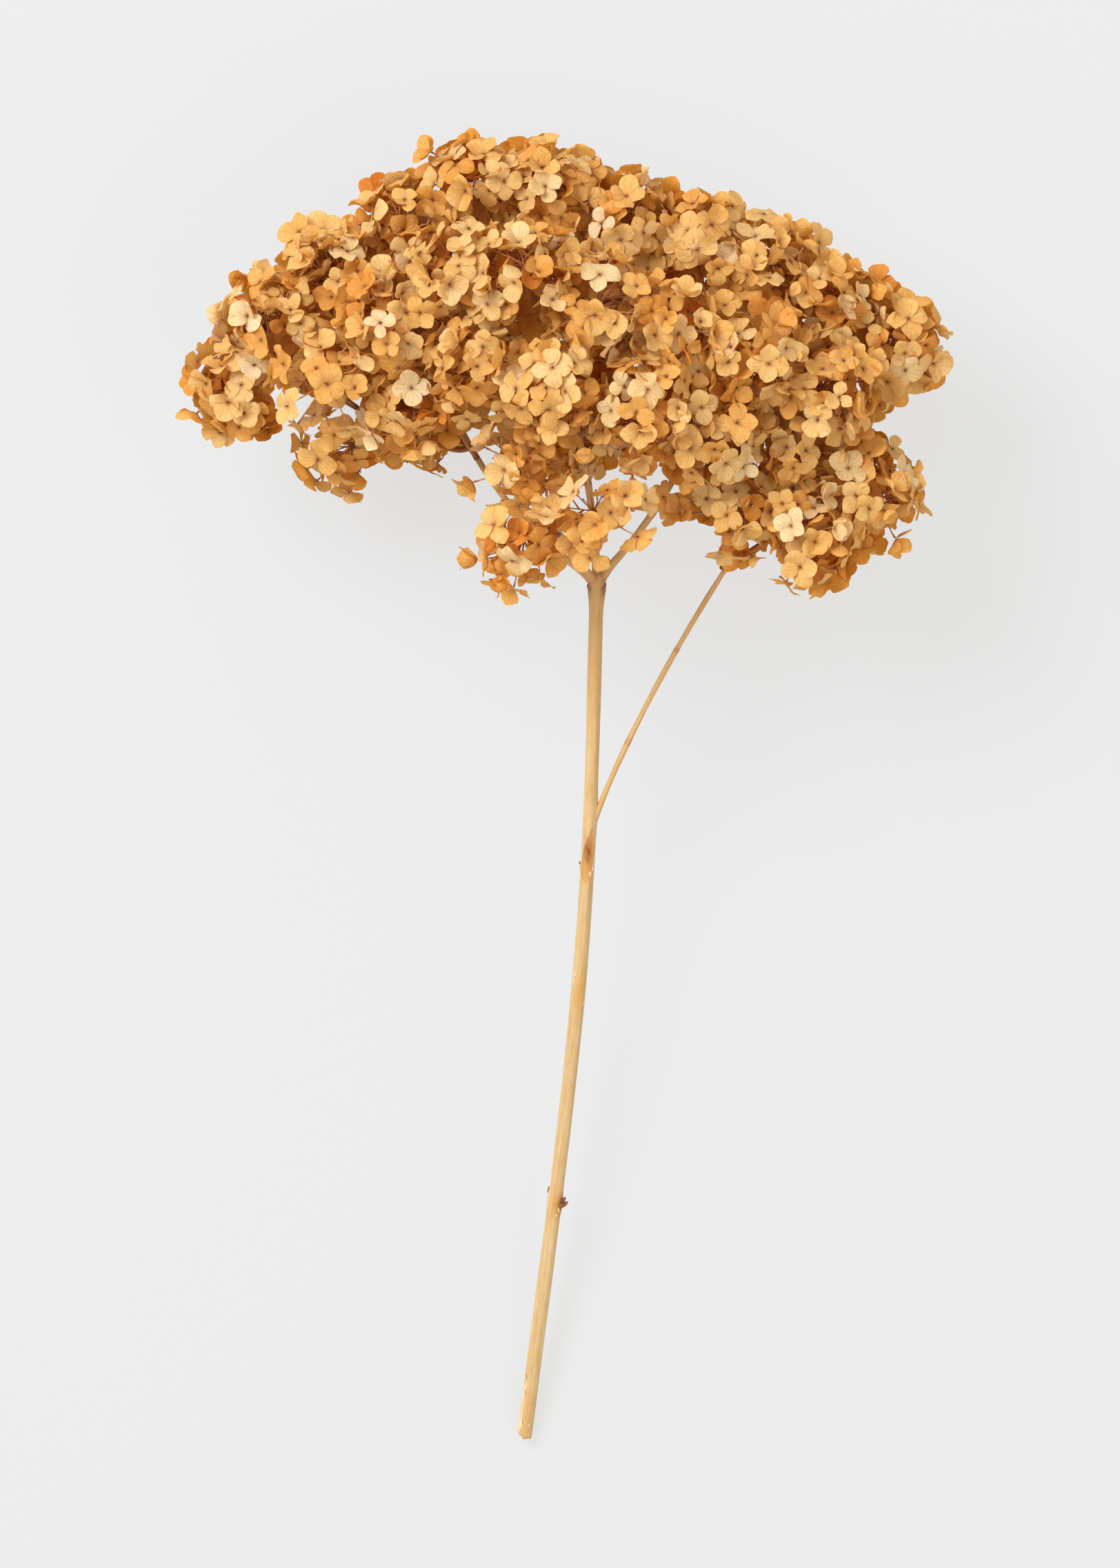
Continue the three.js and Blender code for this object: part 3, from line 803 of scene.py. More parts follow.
def stem_marks(level, angle, height):
    """How dark, peeled and pale the stem is, with painted light lifting its right side and the
    stretch below the fork, where the head shades it.
    """
    out = peeled(level, angle)
    patch = smooth(out, 1.06, 0.94)
    ragged = 0.75 + 0.25 * np.sin(level * 2.3 + 5 * angle)
    knot = spots(level, angle, STEM_KNOTS) * ragged + spots(level, angle, SMOOTH_KNOTS)
    torn = 0.5 + 0.5 * np.sin(level * 4.1 + 11 * angle) * np.sin(level * 1.3 - 6 * angle)
    core = bump(level, PEELED_CORE + 1.5, 6.0) * toward(angle, TOP, 0.75)
    knot += 1.5 * core * (0.35 + 0.65 * torn)
    knot += 0.4 * patch * np.exp(-(((out - 0.9) / 0.12) ** 2))
    stains = spots(level, angle, STEM_STAINS)
    cut_end = 0.5 * smooth(level, 26.0, 8.0) * toward(angle, TOP, 0.9)
    fork = 0.5 * smooth(level, 240.0, 325.0)
    scar = np.clip(patch * 0.95 + stains + cut_end + fork, 0, 1)
    rim = np.exp(-(((out - 1.12) / 0.1) ** 2))
    # Pale sheath along both edges, plus painted light: the right side and the stretch below the
    # fork, shaded by the head, are lightened.
    pale_edges_and_painted_light = 0.75 * toward(angle, LEFT - 0.1, 0.7) + 0.45 * toward(angle, RIGHT, 0.7)
    pale_edges_and_painted_light = pale_edges_and_painted_light + 0.35 * smooth(level, 285.0, 325.0)
    pale_end = 0.9 * toward(angle, LEFT - 0.5, 0.5) * smooth(level, 22, 19)
    pale_top = 0.5 * toward(angle, TOP - 0.2, 0.5) * bump(level, 72.0, 30.0)
    bleach = rim * 0.9 + pale_edges_and_painted_light + pale_end + pale_top
    return np.clip(knot, 0, 1), scar, bleach


def smooth(values, start, end):
    """0 at start and 1 at end, smooth between."""
    share = np.clip((values - start) / (end - start), 0, 1)
    return share * share * (3 - 2 * share)


def make_stem(points):
    length = np.linalg.norm(np.diff(points, axis=0), axis=1).sum() / MM
    height = (points[-1, 1] - points[0, 1]) / MM
    levels = height / length
    mesh = bar_mesh(
        "main_stem_bark",
        points,
        lambda travel, angle: stem_radius(travel * levels, angle, height),
        STEM_SIDES,
        lambda travel, angle: stem_marks(travel * levels, angle, height),
    )
    places = places_of(mesh)
    # The cut is blunt, and its left corner is off.
    off = (places - points[0]) / MM
    across = off[:, 0] / STEM_RADIUS
    corner = 2.4 * np.clip(-across - 0.15, 0, None) + 0.35 * abs(across) ** 2
    torn = 0.16 * np.sin(np.arctan2(off[:, 2], off[:, 0]) * 7) + 0.1 * np.sin(off[:, 0] * 5)
    places[:, 1] += (corner + torn) * MM * np.clip(1 - off[:, 1] / 9, 0, 1)
    places[:, 2] = np.maximum(places[:, 2], 0.02 * MM)
    mesh.vertices.foreach_set("co", places.ravel())
    mesh.materials.append(STEM_BARK)
    stem = add_object("main_stem_bark", turned_out(mesh))
    finish_piece(stem, "stem", "main_stem")


def stem_place(points, level, degrees):
    """A place on the stem's surface, and the ways out of it and along the stem there."""
    along, side, top = frames_along(points)
    at = int(abs(points[:, 1] - points[0, 1] - level * MM).argmin())
    angle = math.radians(degrees)
    out = side[at] * math.cos(angle) + top[at] * math.sin(angle)
    height = (points[-1, 1] - points[0, 1]) / MM
    radius = float(stem_radius(np.array(level), np.array(angle), height))
    return points[at] + out * radius * MM, out, along[at]


def pod_radius(travel, angle, length, radius):
    """A bud's radius: pointed at both ends, with low ridges that wind round it."""
    share = np.clip((travel / length / 1.2) * 0.94 + 0.06, 0.03, 0.985)
    return radius * np.sin(math.pi * share) ** 0.8 * (1 + 0.22 * np.sin(3 * angle + travel))


def make_stem_buds(points):
    """Dry buds and scale leaves: pods with a ridge or two, sunk a little into the bark."""
    shapes = []
    for level, degrees, length, radius, lean, tone in STEM_BUDS:
        place, out, along = stem_place(points, level, degrees)
        tilt = math.radians(lean)
        way = along * math.cos(tilt) + out * math.sin(tilt)
        sunk = place - out * 0.6 * radius * MM
        line = np.array([sunk + way * (s * length) * MM for s in np.linspace(-0.15, 1, 7)])
        mesh = bar_mesh(
            "bud",
            line,
            lambda travel, angle: pod_radius(travel, angle, length, radius),
            BUD_SIDES,
            lambda travel, angle: (0.0, 0.0, 0.0),
        )
        set_numbers(mesh, "tone", "FLOAT", "POINT", np.full(len(mesh.vertices), tone))
        shapes.append(turned_out(mesh))
    buds = add_object("main_stem_buds", joined("main_stem_buds", shapes))
    buds.data.materials.append(TWIG)
    finish_piece(buds, "stem", "main_stem")


def make_stem_flakes(points):
    """Torn flakes of bark, lifting off the stem at one end."""
    rng = np.random.default_rng(FLAKE_SEED)
    shapes = []
    for level, degrees, length, width, lean, up in STEM_FLAKES:
        place, out, along = stem_place(points, level, degrees)
        tilt = math.radians(lean)
        way = along * up * math.cos(tilt) + out * math.sin(tilt)
        face = out * math.cos(tilt) - along * up * math.sin(tilt)
        mesh = petal_mesh("flake", rng)
        sizes = Matrix.Diagonal((width * MM, length * MM, length * 0.5 * MM))
        turn = Matrix(np.stack([np.cross(way, face), way, face], axis=1))
        mesh.transform(Matrix.Translation(place - out * 0.12 * MM) @ (turn @ sizes).to_4x4())
        shapes.append(mesh)
    flakes = add_object("main_stem_flakes", joined("main_stem_flakes", shapes))
    flakes.data.materials.append(FLAKE)
    finish_piece(flakes, "stem", "main_stem")


# ------------------------------------------------------------------ limbs


def limb_radius(travel, angle, radii, length, flare):
    """A limb's radius: its own taper, a flared foot, low joints along it, and a rounded end."""
    more, lasts = flare
    base = np.interp(travel / length, np.linspace(0, 1, len(radii)), radii)
    base = base + more * np.exp(-travel / lasts) + 0.05 * np.sin(4 * angle + travel * 0.2)
    for share in LIMB_JOINTS:
        base = base + 0.16 * bump(travel, share * length, 2.0)
    end = np.clip((travel - (length - 1.6)) / 1.6, 0, 1)
    return base * np.sqrt(np.clip(1 - end**2, 0.01, 1))


def limb_marks(travel, length):
    knot = 0.35 * bump(travel, 0.0, 7.0) + 0.6 * bump(travel, length, 3.0)
    for share in LIMB_JOINTS:
        knot = knot + 0.5 * bump(travel, share * length, 1.2)
    return np.clip(knot, 0, 1), LIMB_SCAR, LIMB_BLEACH


def limb_line(middle, trunk, root):
    """A limb's line, evenly spaced and smoothed.

    It runs from inside its trunk, at the place nearest to root millimetres below the limb's foot,
    to just past its tip."""
    below = middle[0] - unit(middle[1] - middle[0]) * root * MM
    first = trunk[np.linalg.norm(trunk - below, axis=1).argmin()]
    last = middle[-1] + unit(middle[-1] - middle[-2]) * 2.6 * MM
    points = np.vstack([first, (first + middle[0]) / 2, middle, last])
    steps = np.concatenate([[0], np.cumsum(np.linalg.norm(np.diff(points, axis=0), axis=1))])
    fine = np.linspace(0, steps[-1], max(16, int(steps[-1] / MM / 1.5)))
    points = np.stack([np.interp(fine, steps, points[:, i]) for i in range(3)], axis=1)
    for _ in range(6):
        points[1:-1] = (points[:-2] + 2 * points[1:-1] + points[2:]) / 4
    return points


def make_limb(node, parent, root, spines):
    middle, radii = spines[node]
    points = limb_line(middle, spines[parent][0], root)
    length = np.linalg.norm(np.diff(points, axis=0), axis=1).sum() / MM
    radii = radii / MM * 0.98
    flare = FLARE.get(parent, SMALL_FLARE) if node != "side_branch" else SMALL_FLARE
    mesh = bar_mesh(
        node + "_bark",
        points,
        lambda travel, angle: limb_radius(travel, angle, radii, length, flare),
        LIMB_SIDES,
        lambda travel, angle: limb_marks(travel, length),
    )
    mesh.materials.append(STEM_BARK if parent == "main_stem" else LIMB_BARK)
    limb = add_object(node + "_bark", turned_out(mesh))
    finish_piece(limb, "limbs", node)


# ------------------------------------------------------------------ petals


def petal_mesh(name, rng):
    """A thin closed petal one unit long, along +Y from its claw, with its own curl and ripple."""
    broad = rng.uniform(0.45, 0.56)
    blunt = rng.uniform(0.46, 0.74)
    waist = rng.uniform(0.95, 1.25)
    curl, tip = rng.uniform(-0.45, 0.45), rng.uniform(-0.3, 0.3)
    trough = rng.uniform(-0.45, 1.0)
    ripple = rng.uniform(0.03, 0.11)
    phase = rng.uniform(0, 2 * math.pi)
    lean = rng.uniform(-0.1, 0.1)

    # Rows across the petal crowd towards its claw and its tip, where its outline turns.
    turns = np.arange(1, PETAL_ROWS + 1) * math.pi / (PETAL_ROWS + 1)
    rows = (1 - np.cos(turns)) / 2
    halves = broad * np.sin(math.pi * rows**waist) ** blunt * rng.uniform(0.95, 1.05, PETAL_ROWS)
    columns = np.linspace(-1, 1, 5)
    flat, margin = [(0.0, 0.0)], [1.0]
    for y, half in zip(rows, halves):
        for column in columns:
            flat.append((half * column + lean * y, y))
            margin.append(abs(column))
    flat.append((lean, 1.0))
    margin.append(1.0)
    flat, margin = np.array(flat), np.array(margin)

    x, y = flat[:, 0], flat[:, 1]
    lift = curl * y**2 + tip * y**5 + trough * x**2
    lift += ripple * np.sin(y * 7 + phase + x * 4) * (0.3 + abs(x) * 1.6)
    half_wall = PETAL_THICKNESS / 2 * np.where(margin >= 1, 0, 1)
    over = np.stack([x, y, lift + half_wall], axis=1)
    under = np.stack([x, y, lift - half_wall], axis=1)

    on_margin = margin >= 1
    under_index = np.where(on_margin, np.arange(len(x)), len(x) + np.cumsum(~on_margin) - 1)
    vertices = np.vstack([over, under[~on_margin]])
    across = len(columns)
    upper = []
    for column in range(across - 1):
        upper.append((0, 2 + column, 1 + column))
        for row in range(len(rows) - 1):
            at = 1 + row * across + column
            upper.append((at, at + 1, at + 1 + across, at + across))
        at = 1 + (len(rows) - 1) * across + column
        upper.append((at, at + 1, len(x) - 1))
    lower = [tuple(int(under_index[i]) for i in reversed(face)) for face in upper]
    mesh = bpy.data.meshes.new(name)
    mesh.from_pydata(vertices, [], upper + lower)
    mesh.shade_smooth()
    turned_out(mesh)
    # The rim is a sharp edge, so that each side is shaded as the flat sheet it is.
    rim = [all(on_margin[i] if i < len(x) else False for i in edge.vertices) for edge in mesh.edges]
    set_numbers(mesh, "sharp_edge", "BOOLEAN", "EDGE", rim)
    both_sides = np.concatenate([np.arange(len(x)), np.flatnonzero(~on_margin)])
    set_uv(mesh, "petal", np.stack([x[both_sides] + 0.5, y[both_sides]], axis=1))
    set_numbers(mesh, "margin", "FLOAT", "POINT", margin[both_sides])
    return mesh


def petal_shapes():
    """A hidden collection of petals for the florets to pick from."""
    rng = np.random.default_rng(PETAL_SEED)
    shapes = bpy.data.collections.new("petal shapes")
    for i in range(PETAL_FORMS):
        name = f"petal_{i:02d}"
        shapes.objects.link(bpy.data.objects.new(name, petal_mesh(name, rng)))
    return shapes


def geometry_tree(name, inputs):
    """An empty geometry tree with named inputs, and its builder."""
    tree = bpy.data.node_groups.new(name, "GeometryNodeTree")
    tree.interface.new_socket("Geometry", in_out="INPUT", socket_type="NodeSocketGeometry")
    for label, kind in inputs.items():
        tree.interface.new_socket(label, in_out="INPUT", socket_type="NodeSocket" + kind)
    tree.interface.new_socket("Geometry", in_out="OUTPUT", socket_type="NodeSocketGeometry")
    nodes = Nodes(tree)
    start = tree.nodes.new("NodeGroupInput")
    given = {socket.name: Value(nodes, socket) for socket in start.outputs if socket.name}
    return tree, nodes, given


def named(nodes, name, kind):
    inputs = {"Name": name}
    return nodes.add("GeometryNodeInputNamedAttribute", inputs, data_type=kind)


def put_out(nodes, geometry, finish):
    """The end of a tree: its instances made real, with their finish."""
    real = nodes.add("GeometryNodeRealizeInstances", {"Geometry": geometry})
    inputs = {"Geometry": real, "Material": finish}
    done = nodes.add("GeometryNodeSetMaterial", inputs)
    nodes.add("NodeGroupOutput", {"Geometry": done})


def petal_tree():
    """Sets a petal on every point, turned, sized and picked by the point's own attributes."""
    inputs = {"Shapes": "Collection", "Finish": "Material"}
    tree, nodes, given = geometry_tree("petals on points", inputs)
    info = {"Collection": given["Shapes"], "Separate Children": True, "Reset Children": True}
    shapes = nodes.add("GeometryNodeCollectionInfo", info)
    turn = nodes.add("FunctionNodeEulerToRotation", {0: named(nodes, "turn", "FLOAT_VECTOR")})
    placed = {
        "Points": given["Geometry"],
        "Instance": shapes,
        "Pick Instance": True,
        "Instance Index": named(nodes, "form", "INT"),
        "Rotation": turn,
        "Scale": named(nodes, "size", "FLOAT_VECTOR"),
    }
    petals = nodes.add("GeometryNodeInstanceOnPoints", placed)
    put_out(nodes, petals, given["Finish"])
    return tree


def twig_tree():
    """Makes edge paths round twigs, and points marked as buds round buds, by their own radius."""
    inputs = {"Sides": "Int", "Finish": "Material"}
    tree, nodes, given = geometry_tree("twigs along edges", inputs)
    radius = named(nodes, "radius", "FLOAT")
    is_bud = named(nodes, "bud", "BOOLEAN")
    paths = nodes.add("GeometryNodeMeshToCurve", {"Mesh": given["Geometry"]})
    ring = {"Resolution": given["Sides"], "Radius": 1.0}
    profile = nodes.add("GeometryNodeCurvePrimitiveCircle", ring, mode="RADIUS")
    round_it = {"Curve": paths, "Profile Curve": profile, "Scale": radius, "Fill Caps": True}
    twigs = nodes.add("GeometryNodeCurveToMesh", round_it)
    ball = nodes.add("GeometryNodeMeshIcoSphere", {"Radius": 1.0, "Subdivisions": 1})
    placed = {"Points": given["Geometry"], "Selection": is_bud, "Instance": ball, "Scale": radius}
    buds = nodes.add("GeometryNodeInstanceOnPoints", placed)
    both = nodes.tree.nodes.new("GeometryNodeJoinGeometry")
    for made in (buds, twigs):
        nodes.tree.links.new(made.socket, both.inputs[0])
    whole = Value(nodes, both.outputs[0])
    smoothed = nodes.add("GeometryNodeSetShadeSmooth", {"Geometry": whole})
    put_out(nodes, smoothed, given["Finish"])
    return tree


def grown(name, seed_mesh, tree, inputs, spent):
    """The plain mesh that a tree makes of seed_mesh, without the attributes that are spent."""
    source = add_object(name + "_seed", seed_mesh)
    modifier = source.modifiers.new("grow", "NODES")
    modifier.node_group = tree
    for item in tree.interface.items_tree:
        if item.in_out == "INPUT" and item.name in inputs:
            modifier[item.identifier] = inputs[item.name]
    source.update_tag()
    depsgraph = bpy.context.evaluated_depsgraph_get()
    mesh = bpy.data.meshes.new_from_object(source.evaluated_get(depsgraph), depsgraph=depsgraph)
    bpy.data.objects.remove(source)
    bpy.data.meshes.remove(seed_mesh)
    for attribute in spent:
        if attribute in mesh.attributes:
            mesh.attributes.remove(mesh.attributes[attribute])
    mesh.name = name
    return mesh


def pressed_piece(mesh):
    """An object of a mesh, with what is near the surface, or under it, bent to lie along it."""
    places = places_of(mesh, np.float32)
    z = places[:, 2]
    height = PRESSED_HEIGHT * MM
    low = z < height
    z[low] = height * np.exp((z[low] - height) / height)
    mesh.vertices.foreach_set("co", places.ravel())
    mesh.update()
    return add_object(mesh.name, mesh)


# ------------------------------------------------------------------ flower clusters


def read_clusters():
    clusters = []
    for node in sorted(frame["nodes"]):
        if "cluster" not in node:
            continue
        found = seats(node)
        knob = crossing([(s["centre"], s["faces"]) for s in found])
        facing = unit(np.sum([s["faces"] for s in found], axis=0))
        foot = stalk_foot(node, knob, found)
        middle = knob + facing * CLUSTER_SETBACK * MM
        cluster = {"name": node, "florets": found, "knob": knob, "facing": facing}
        clusters.append(cluster | {"foot": foot, "middle": middle})
    return clusters


def random_way(rng, facing, widest):
    """A way out within widest, an angle, of the way that a cluster faces."""
    height = rng.uniform(math.cos(widest), 1)
    turn = rng.uniform(0, 2 * math.pi)
    side = unit(np.cross(facing, (0.31, 0.17, 0.93)))
    top = np.cross(facing, side)
    across = math.sqrt(1 - height * height)
    return facing * height + (side * math.cos(turn) + top * math.sin(turn)) * across


def add_floret(cluster, centre, faces, radius, depth, rng):
    """A floret besides the seats. depth is how much darker it is painted, as shade for lying inside
    the head.
    """
    notch = unit(np.cross(faces, rng.normal(0, 1, 3)))
    floret = {"centre": centre, "faces": faces, "radius": radius, "notch": notch}
    cluster["florets"].append(floret | {"added": True, "depth": depth})


def is_bare(place):
    x, y, z = place / MM
    return any(math.hypot(x - a, y - b) < radius and z > low for a, b, radius, low in BARE_PLACES)


def fill_clusters(clusters):
    """Adds florets between the seats, until each cluster is full or has no room."""
    rng = np.random.default_rng(FILL_SEED)
    middles = np.array([c["middle"] for c in clusters])
    centres = [s["centre"] for c in clusters for s in c["florets"]]
    radii = [s["radius"] for c in clusters for s in c["florets"]]
    for number, cluster in enumerate(clusters):
        others = np.delete(middles, number, axis=0)
        enough = SPARSE_CLUSTERS.get(cluster["name"], FLORETS_PER_CLUSTER)
        for _ in range(FLORET_TRIES):
            if len(cluster["florets"]) >= enough:
                break
            way = random_way(rng, cluster["facing"], FLORETS_SPREAD)
            centre = cluster["knob"] + way * rng.uniform(SHORTEST_PEDICEL, LONGEST_PEDICEL) * MM
            radius = rng.uniform(SMALLEST_FLORET, LARGEST_FLORET) * MM
            own = np.linalg.norm(centre - cluster["middle"])
            near = np.linalg.norm(others - centre, axis=1).min()
            room = np.linalg.norm(np.array(centres) - centre, axis=1) / (np.array(radii) + radius)
            lean = rng.normal(0, FLORET_LEAN, 3)
            faces = unit(way + cluster["facing"] * 0.2 + lean)
            lowest = centre[2] - radius * math.sqrt(1 - faces[2] ** 2)
            crowded = own > near + CLUSTER_MINGLING * MM or room.min() < FLORET_SPACING
            if crowded or lowest < -DEEPEST_FLORET * MM or is_bare(centre):
                continue
            # Florets near the knob lie deep inside the head, and get painted shade.
            inside = 1 - np.linalg.norm(centre - cluster["knob"]) / MM / LONGEST_PEDICEL
            add_floret(cluster, centre, faces, radius, 0.5 * inside, rng)
            centres.append(centre)
            radii.append(radius)


def spread(cells, steps):
    """Cells, and their neighbours that many steps away."""
    for _ in range(steps):
        wide = cells.copy()
        wide[1:] |= cells[:-1]
        wide[:-1] |= cells[1:]
        wide[:, 1:] |= cells[:, :-1]
        wide[:, :-1] |= cells[:, 1:]
        cells = wide
    return cells


def seen_through(clusters, xs, ys):
    """Cells of a grid, seen from above, that are enclosed by florets but covered by none."""
    covered = np.zeros((len(xs), len(ys)), dtype=bool)
    grid = np.stack(np.meshgrid(xs, ys, indexing="ij"), axis=-1)
    for floret in (f for c in clusters for f in c["florets"]):
        reach = floret["radius"] * (0.3 + 0.36 * abs(floret["faces"][2]))
        covered |= np.linalg.norm(grid - floret["centre"][:2], axis=-1) < reach
    enclosed = ~spread(~spread(covered, WIDEST_GAP), WIDEST_GAP)
    return grid[enclosed & ~covered]


def close_holes(clusters):
    """Adds florets low in the head, where the surface would show through its middle, painted darker
    as shade.
    """
    rng = np.random.default_rng(HOLE_SEED)
    knobs = np.array([c["knob"] for c in clusters])
    xs, ys = (np.arange(low, high, HOLE_GRID * MM) for low, high in HOLE_FIELD)
    added = np.zeros((0, 2))
    holes = seen_through(clusters, xs, ys)
    for x, y in rng.permutation(holes):
        gaps = np.linalg.norm(added - (x, y), axis=1)
        if is_bare(np.array((x, y, LOW_KNOB * MM))) or gaps.min(initial=1.0) < CLOSER_SPACING * MM:
            continue
        across = np.linalg.norm(knobs[:, :2] - (x, y), axis=1)
        across[knobs[:, 2] < LOW_KNOB * MM] *= 1.3  # a higher cluster is taken sooner
        cluster = clusters[int(across.argmin())]
        knob, off = cluster["knob"], across.min()
        if off > LONGEST_PEDICEL * MM or cluster["name"] in SPARSE_CLUSTERS:
            continue
        drop = math.sqrt((rng.uniform(1.0, 1.15) * LONGEST_PEDICEL * MM) ** 2 - off**2)
        centre = np.array((x, y, max(knob[2] - drop, LOWEST_CLOSER * MM)))
        faces = unit(np.array((0, 0, 1.0)) + rng.normal(0, 0.35, 3))
        radius = rng.uniform(0.85, 1.05) * LARGEST_FLORET * MM
        add_floret(cluster, centre, faces, radius, CLOSER_PAINTED_SHADE, rng)
        added = np.vstack([added, (x, y)])


def reach_edges(clusters):
    """Adds the few florets that reach out furthest."""
    rng = np.random.default_rng(EDGE_SEED)
    knobs = np.array([c["knob"] for c in clusters])
    for x, y in EDGE_FLORETS:
        place = np.array((x, y)) * MM
        cluster = clusters[int(np.linalg.norm(knobs[:, :2] - place, axis=1).argmin())]
        centre = np.array((*place, cluster["knob"][2] + rng.uniform(-3, 5) * MM))
        faces = unit(unit(centre - cluster["knob"]) + (0, 0, 0.9) + rng.normal(0, 0.3, 3))
        radius = rng.uniform(0.85, 1.0) * LARGEST_FLORET * MM
        add_floret(cluster, centre, faces, radius, 0.0, rng)


def floret_petals(floret, rng):
    """A floret's petals, each with a place, turn, size, form, tone and seed."""
    faces = floret["faces"]
    if not floret.get("added"):
        faces = unit(faces + rng.normal(0, SEAT_JITTER, 3))
    first = unit(floret["notch"] - faces * (floret["notch"] @ faces))
    second = np.cross(faces, first)
    radius = floret["radius"] * SEAT_SHRINK
    opening = math.radians(rng.normal(OPENING, OPENING_SPREAD))
    if rng.random() < PALE_SHARE:
        tone = rng.uniform(*PALE_TONES)
    else:
        tone = np.clip(rng.normal(TONE, TONE_SPREAD), *TONE_RANGE)
    # Painted shade: florets deep inside or low in the head are darker.
    tone -= floret.get("depth", 0)
    count = PETALS_PER_FLORET - int(rng.random() <= THREE_PETALLED)
    petals = []
    for number in range(count):
        angle = (number + 0.5) * 2 * math.pi / count + rng.normal(0, 0.07)
        out = first * math.cos(angle) + second * math.sin(angle)
        tilt = opening + math.radians(rng.normal(0, PETAL_TILT))
        tilt += math.radians(4 if number % 2 else -3)  # one pair lies over the other
        along = out * math.cos(tilt) + faces * math.sin(tilt)
        up = faces * math.cos(tilt) - out * math.sin(tilt)
        turn = Matrix(np.stack([np.cross(along, up), along, up], axis=1)).to_euler()
        length = (radius - 0.3 * MM) * rng.uniform(0.9, 1.05)
        level = 0.2 * MM if number % 2 else 0.0
        petals.append(
            {
                "place": floret["centre"] + out * 0.3 * MM + faces * level,
                "turn": tuple(turn),
                "size": (length * rng.uniform(0.92, 1.08), length, length),
                "form": rng.integers(PETAL_FORMS),
                "tone": tone + rng.normal(0, 0.035),
                "seed": rng.random(),
            }
        )
    return petals


def points_mesh(name, petals):
    mesh = bpy.data.meshes.new(name)
    mesh.from_pydata([p["place"] for p in petals], [], [])
    for key, kind in (("turn", "FLOAT_VECTOR"), ("size", "FLOAT_VECTOR"), ("form", "INT"),
                      ("tone", "FLOAT"), ("seed", "FLOAT")):
        set_numbers(mesh, key, kind, "POINT", [p[key] for p in petals])
    return mesh


class Twigs:
    """Paths and buds, gathered as points and edges with a radius and a tone."""

    def __init__(self):
        self.places, self.edges, self.radii, self.tones, self.buds = [], [], [], [], []

    def point(self, place, radius, tone, bud=False):
        self.places.append(place)
        self.radii.append(radius * MM)
        self.tones.append(tone)
        self.buds.append(bud)

    def path(self, places, radii, tones):
        start = len(self.places)
        for place, radius, tone in zip(places, radii, tones):
            self.point(place, radius, tone)
        self.edges += [(start + i, start + i + 1) for i in range(len(places) - 1)]

    def mesh(self, name):
        mesh = bpy.data.meshes.new(name)
        mesh.from_pydata(self.places, self.edges, [])
        set_numbers(mesh, "radius", "FLOAT", "POINT", self.radii)
        set_numbers(mesh, "tone", "FLOAT", "POINT", self.tones)
        set_numbers(mesh, "bud", "BOOLEAN", "POINT", self.buds)
        return mesh


def bowed(start, end, bow, shares):
    """Points on a gentle bow from start to end."""
    return [start + (end - start) * s + bow * math.sin(math.pi * s) for s in shares]


def add_stalk(twigs, cluster, rng):
    """The cluster's stalk: flared where it leaves the limb, and swollen into a knob."""
    foot, knob = cluster["foot"], cluster["knob"]
    way = unit(knob - foot)
    start = foot - way * 1.1 * MM
    bow = unit(np.cross(way, rng.normal(0, 1, 3))) * np.linalg.norm(knob - foot) * 0.03
    shares = [0, 0.06, 0.14, 0.3, 0.5, 0.7, 0.86, 0.94, 1]
    sizes = [1.5, 1.3, 1.05, 1, 0.97, 1, 1.08, 1.35, 1.4]
    tones = [0.3, 0.4, 0.55, 0.68, 0.7, 0.68, 0.6, 0.4, 0.3]
    twigs.path(bowed(start, knob, bow, shares), [STALK_RADIUS * s for s in sizes], tones)


def add_pedicels(twigs, cluster, rng):
    """One pedicel to each floret. An added floret's may branch off on the way to a seat near it."""
    knob = cluster["knob"]
    seated = [f for f in cluster["florets"] if not f.get("added")]
    for floret in cluster["florets"]:
        end = floret["centre"] - floret["faces"] * 0.35 * MM
        start = knob
        if floret.get("added"):
            gaps = [np.linalg.norm(f["centre"] - floret["centre"]) for f in seated]
            beside = seated[int(np.argmin(gaps))]
            if min(gaps) < 17 * MM:
                start = knob + (beside["centre"] - knob) * rng.uniform(0.3, 0.5)
        # The last stretch comes in from behind the floret.
        behind = end - floret["faces"] * 2.2 * MM
        bow = rng.normal(0, 0.5 * MM, 3)
        places = bowed(start, behind, bow, [0, 0.3, 0.65, 1]) + [end]
        sizes = [1.25, 0.95, 0.85, 0.9, 1.5]
        tones = [0.45, 0.7, 0.8, 0.75, 0.5]
        twigs.path(places, [PEDICEL_RADIUS * s for s in sizes], tones)
        middle = floret["centre"] + floret["faces"] * 0.3 * MM
        twigs.point(middle, EYE_RADIUS * rng.uniform(0.85, 1.15), 0.12 + rng.uniform(0, 0.16), True)


def add_buds(twigs, cluster, rng):
    """Tiny dry buds on hair-thin stalks round the knob."""
    knob = cluster["knob"]
    twigs.point(knob, KNOB_RADIUS, 0.35, True)
    for _ in range(BUDS_PER_CLUSTER):
        way = random_way(rng, cluster["facing"], math.radians(80))
        length = rng.uniform(5, 13) * MM
        end = knob + way * length
        if end[2] < 1.5 * MM:
            continue
        bow = rng.normal(0, 0.6 * MM, 3)
        places = bowed(knob + way * 0.5 * MM, end, bow, [0, 0.5, 1])
        twigs.path(places, [0.2, 0.15, 0.17], [0.5, 0.6, 0.4])
        twigs.point(end, BUD_RADIUS * rng.uniform(0.7, 1.3), rng.uniform(0.05, 0.3), True)


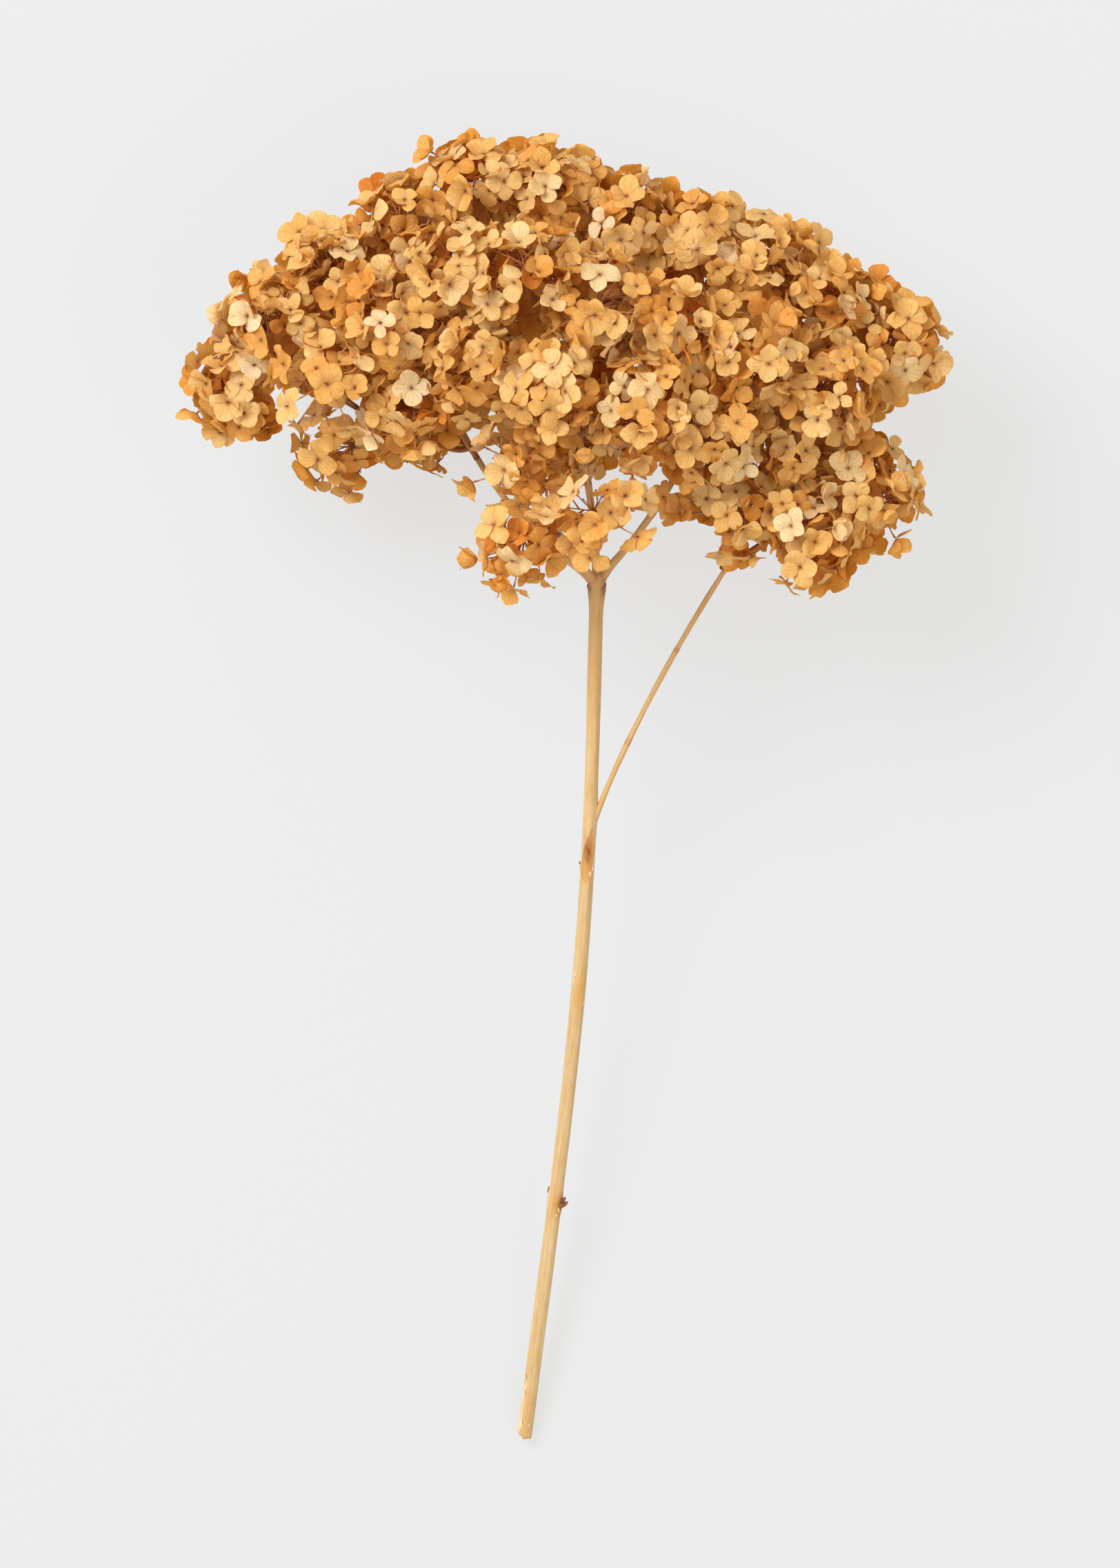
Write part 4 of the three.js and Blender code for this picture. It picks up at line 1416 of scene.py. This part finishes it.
def make_clusters():
    clusters = read_clusters()
    fill_clusters(clusters)
    close_holes(clusters)
    reach_edges(clusters)
    rng = np.random.default_rng(GROWTH_SEED)
    shapes = petal_shapes()
    petals_on_points, twigs_along_edges = petal_tree(), twig_tree()
    for cluster in clusters:
        name = cluster["name"]
        petals = [p for floret in cluster["florets"] for p in floret_petals(floret, rng)]
        inputs = {"Shapes": shapes, "Finish": PETAL}
        spent = ("turn", "size", "form")
        mesh = grown(name + "_florets", points_mesh(name, petals), petals_on_points, inputs, spent)
        finish_piece(pressed_piece(mesh), "florets", name)

        twigs = Twigs()
        add_stalk(twigs, cluster, rng)
        add_pedicels(twigs, cluster, rng)
        add_buds(twigs, cluster, rng)
        inputs = {"Sides": TWIG_SIDES, "Finish": TWIG}
        spent = ("radius", "bud")
        mesh = grown(name + "_stalks", twigs.mesh(name), twigs_along_edges, inputs, spent)
        finish_piece(pressed_piece(mesh), "limbs", name)
    for shape in list(shapes.objects):
        bpy.data.objects.remove(shape)
    bpy.data.collections.remove(shapes)


# ------------------------------------------------------------------ studio

VIEW_HEIGHT = 599.4 * MM  # what the camera takes in, at the flower's middle height
VIEW_MIDDLE = Vector((-1.6 * MM, 1.7 * MM, 60 * MM))
CAMERA_LENS = 600.0
CAMERA_SENSOR = 36.0
CAMERA_FAR = 20.0

# Lights: place, size, power and tint.
LIGHTS = {
    "window": ((-1.5, 1.3, 2.4), 1.8, 94.0, (0.975, 1.0, 1.05)),
    "fill": ((1.6, -1.0, 2.6), 2.4, 22.0, (0.98, 0.99, 1.0)),
}
LIGHTS_AIM = Vector((0, 0.1, 0.05))
SKY_TINT, SKY_STRENGTH = (1.0, 0.965, 0.9, 1.0), 0.77
FLOOR_SIZE = 6.0
FLOOR_GLOW = 0.67


def make_camera():
    data = bpy.data.cameras.new("camera")
    data.lens = CAMERA_LENS
    data.sensor_width = CAMERA_SENSOR
    camera = add_object("camera", data)
    distance = VIEW_HEIGHT * CAMERA_LENS / CAMERA_SENSOR
    camera.location = VIEW_MIDDLE + Vector((0, 0, distance))
    data.clip_end = CAMERA_FAR
    bpy.context.scene.camera = camera


def area_light(name, place, size, power, tint):
    data = bpy.data.lights.new(name, "AREA")
    data.shape = "DISK"
    data.size = size
    data.energy = power
    data.color = tint
    light = add_object(name, data)
    light.location = place
    aim = LIGHTS_AIM - Vector(place)
    light.rotation_euler = aim.to_track_quat("-Z", "Y").to_euler()


def make_studio():
    for name, light in LIGHTS.items():
        area_light(name, *light)
    world = bpy.data.worlds.new("studio")
    world.use_nodes = True
    sky = world.node_tree.nodes["Background"]
    sky.inputs["Color"].default_value = SKY_TINT
    sky.inputs["Strength"].default_value = SKY_STRENGTH
    bpy.context.scene.world = world
    bpy.context.scene.view_settings.view_transform = "Standard"

    bpy.ops.mesh.primitive_plane_add(size=FLOOR_SIZE, location=(0, 0, 0))
    floor = bpy.context.active_object
    floor.name = "floor"
    material, nodes = new_material("pale card")
    inputs = {
        "Base Color": (0.1, 0.1, 0.1, 1.0),
        "Roughness": 0.95,
        "Emission Color": (1.0, 1.0, 1.0, 1.0),
        "Emission Strength": FLOOR_GLOW,
    }
    output(nodes, nodes.add("ShaderNodeBsdfPrincipled", inputs))
    floor.data.materials.append(material)


# ------------------------------------------------------------------ the whole flower

make_camera()
stem_line = stem_spine()
make_stem(stem_line)
make_stem_buds(stem_line)
make_stem_flakes(stem_line)
limb_spines = {node: spine(node, parent, LIMB_STATIONS) for node, (parent, _) in LIMBS.items()}
below_fork = -int(6 / STEM_RING_SPACING)  # limbs root in the stem lower than its last 6 mm
limb_spines["main_stem"] = (stem_line[:below_fork], None)
for limb, (trunk, root_depth) in LIMBS.items():
    make_limb(limb, trunk, root_depth, limb_spines)
make_clusters()
make_studio()
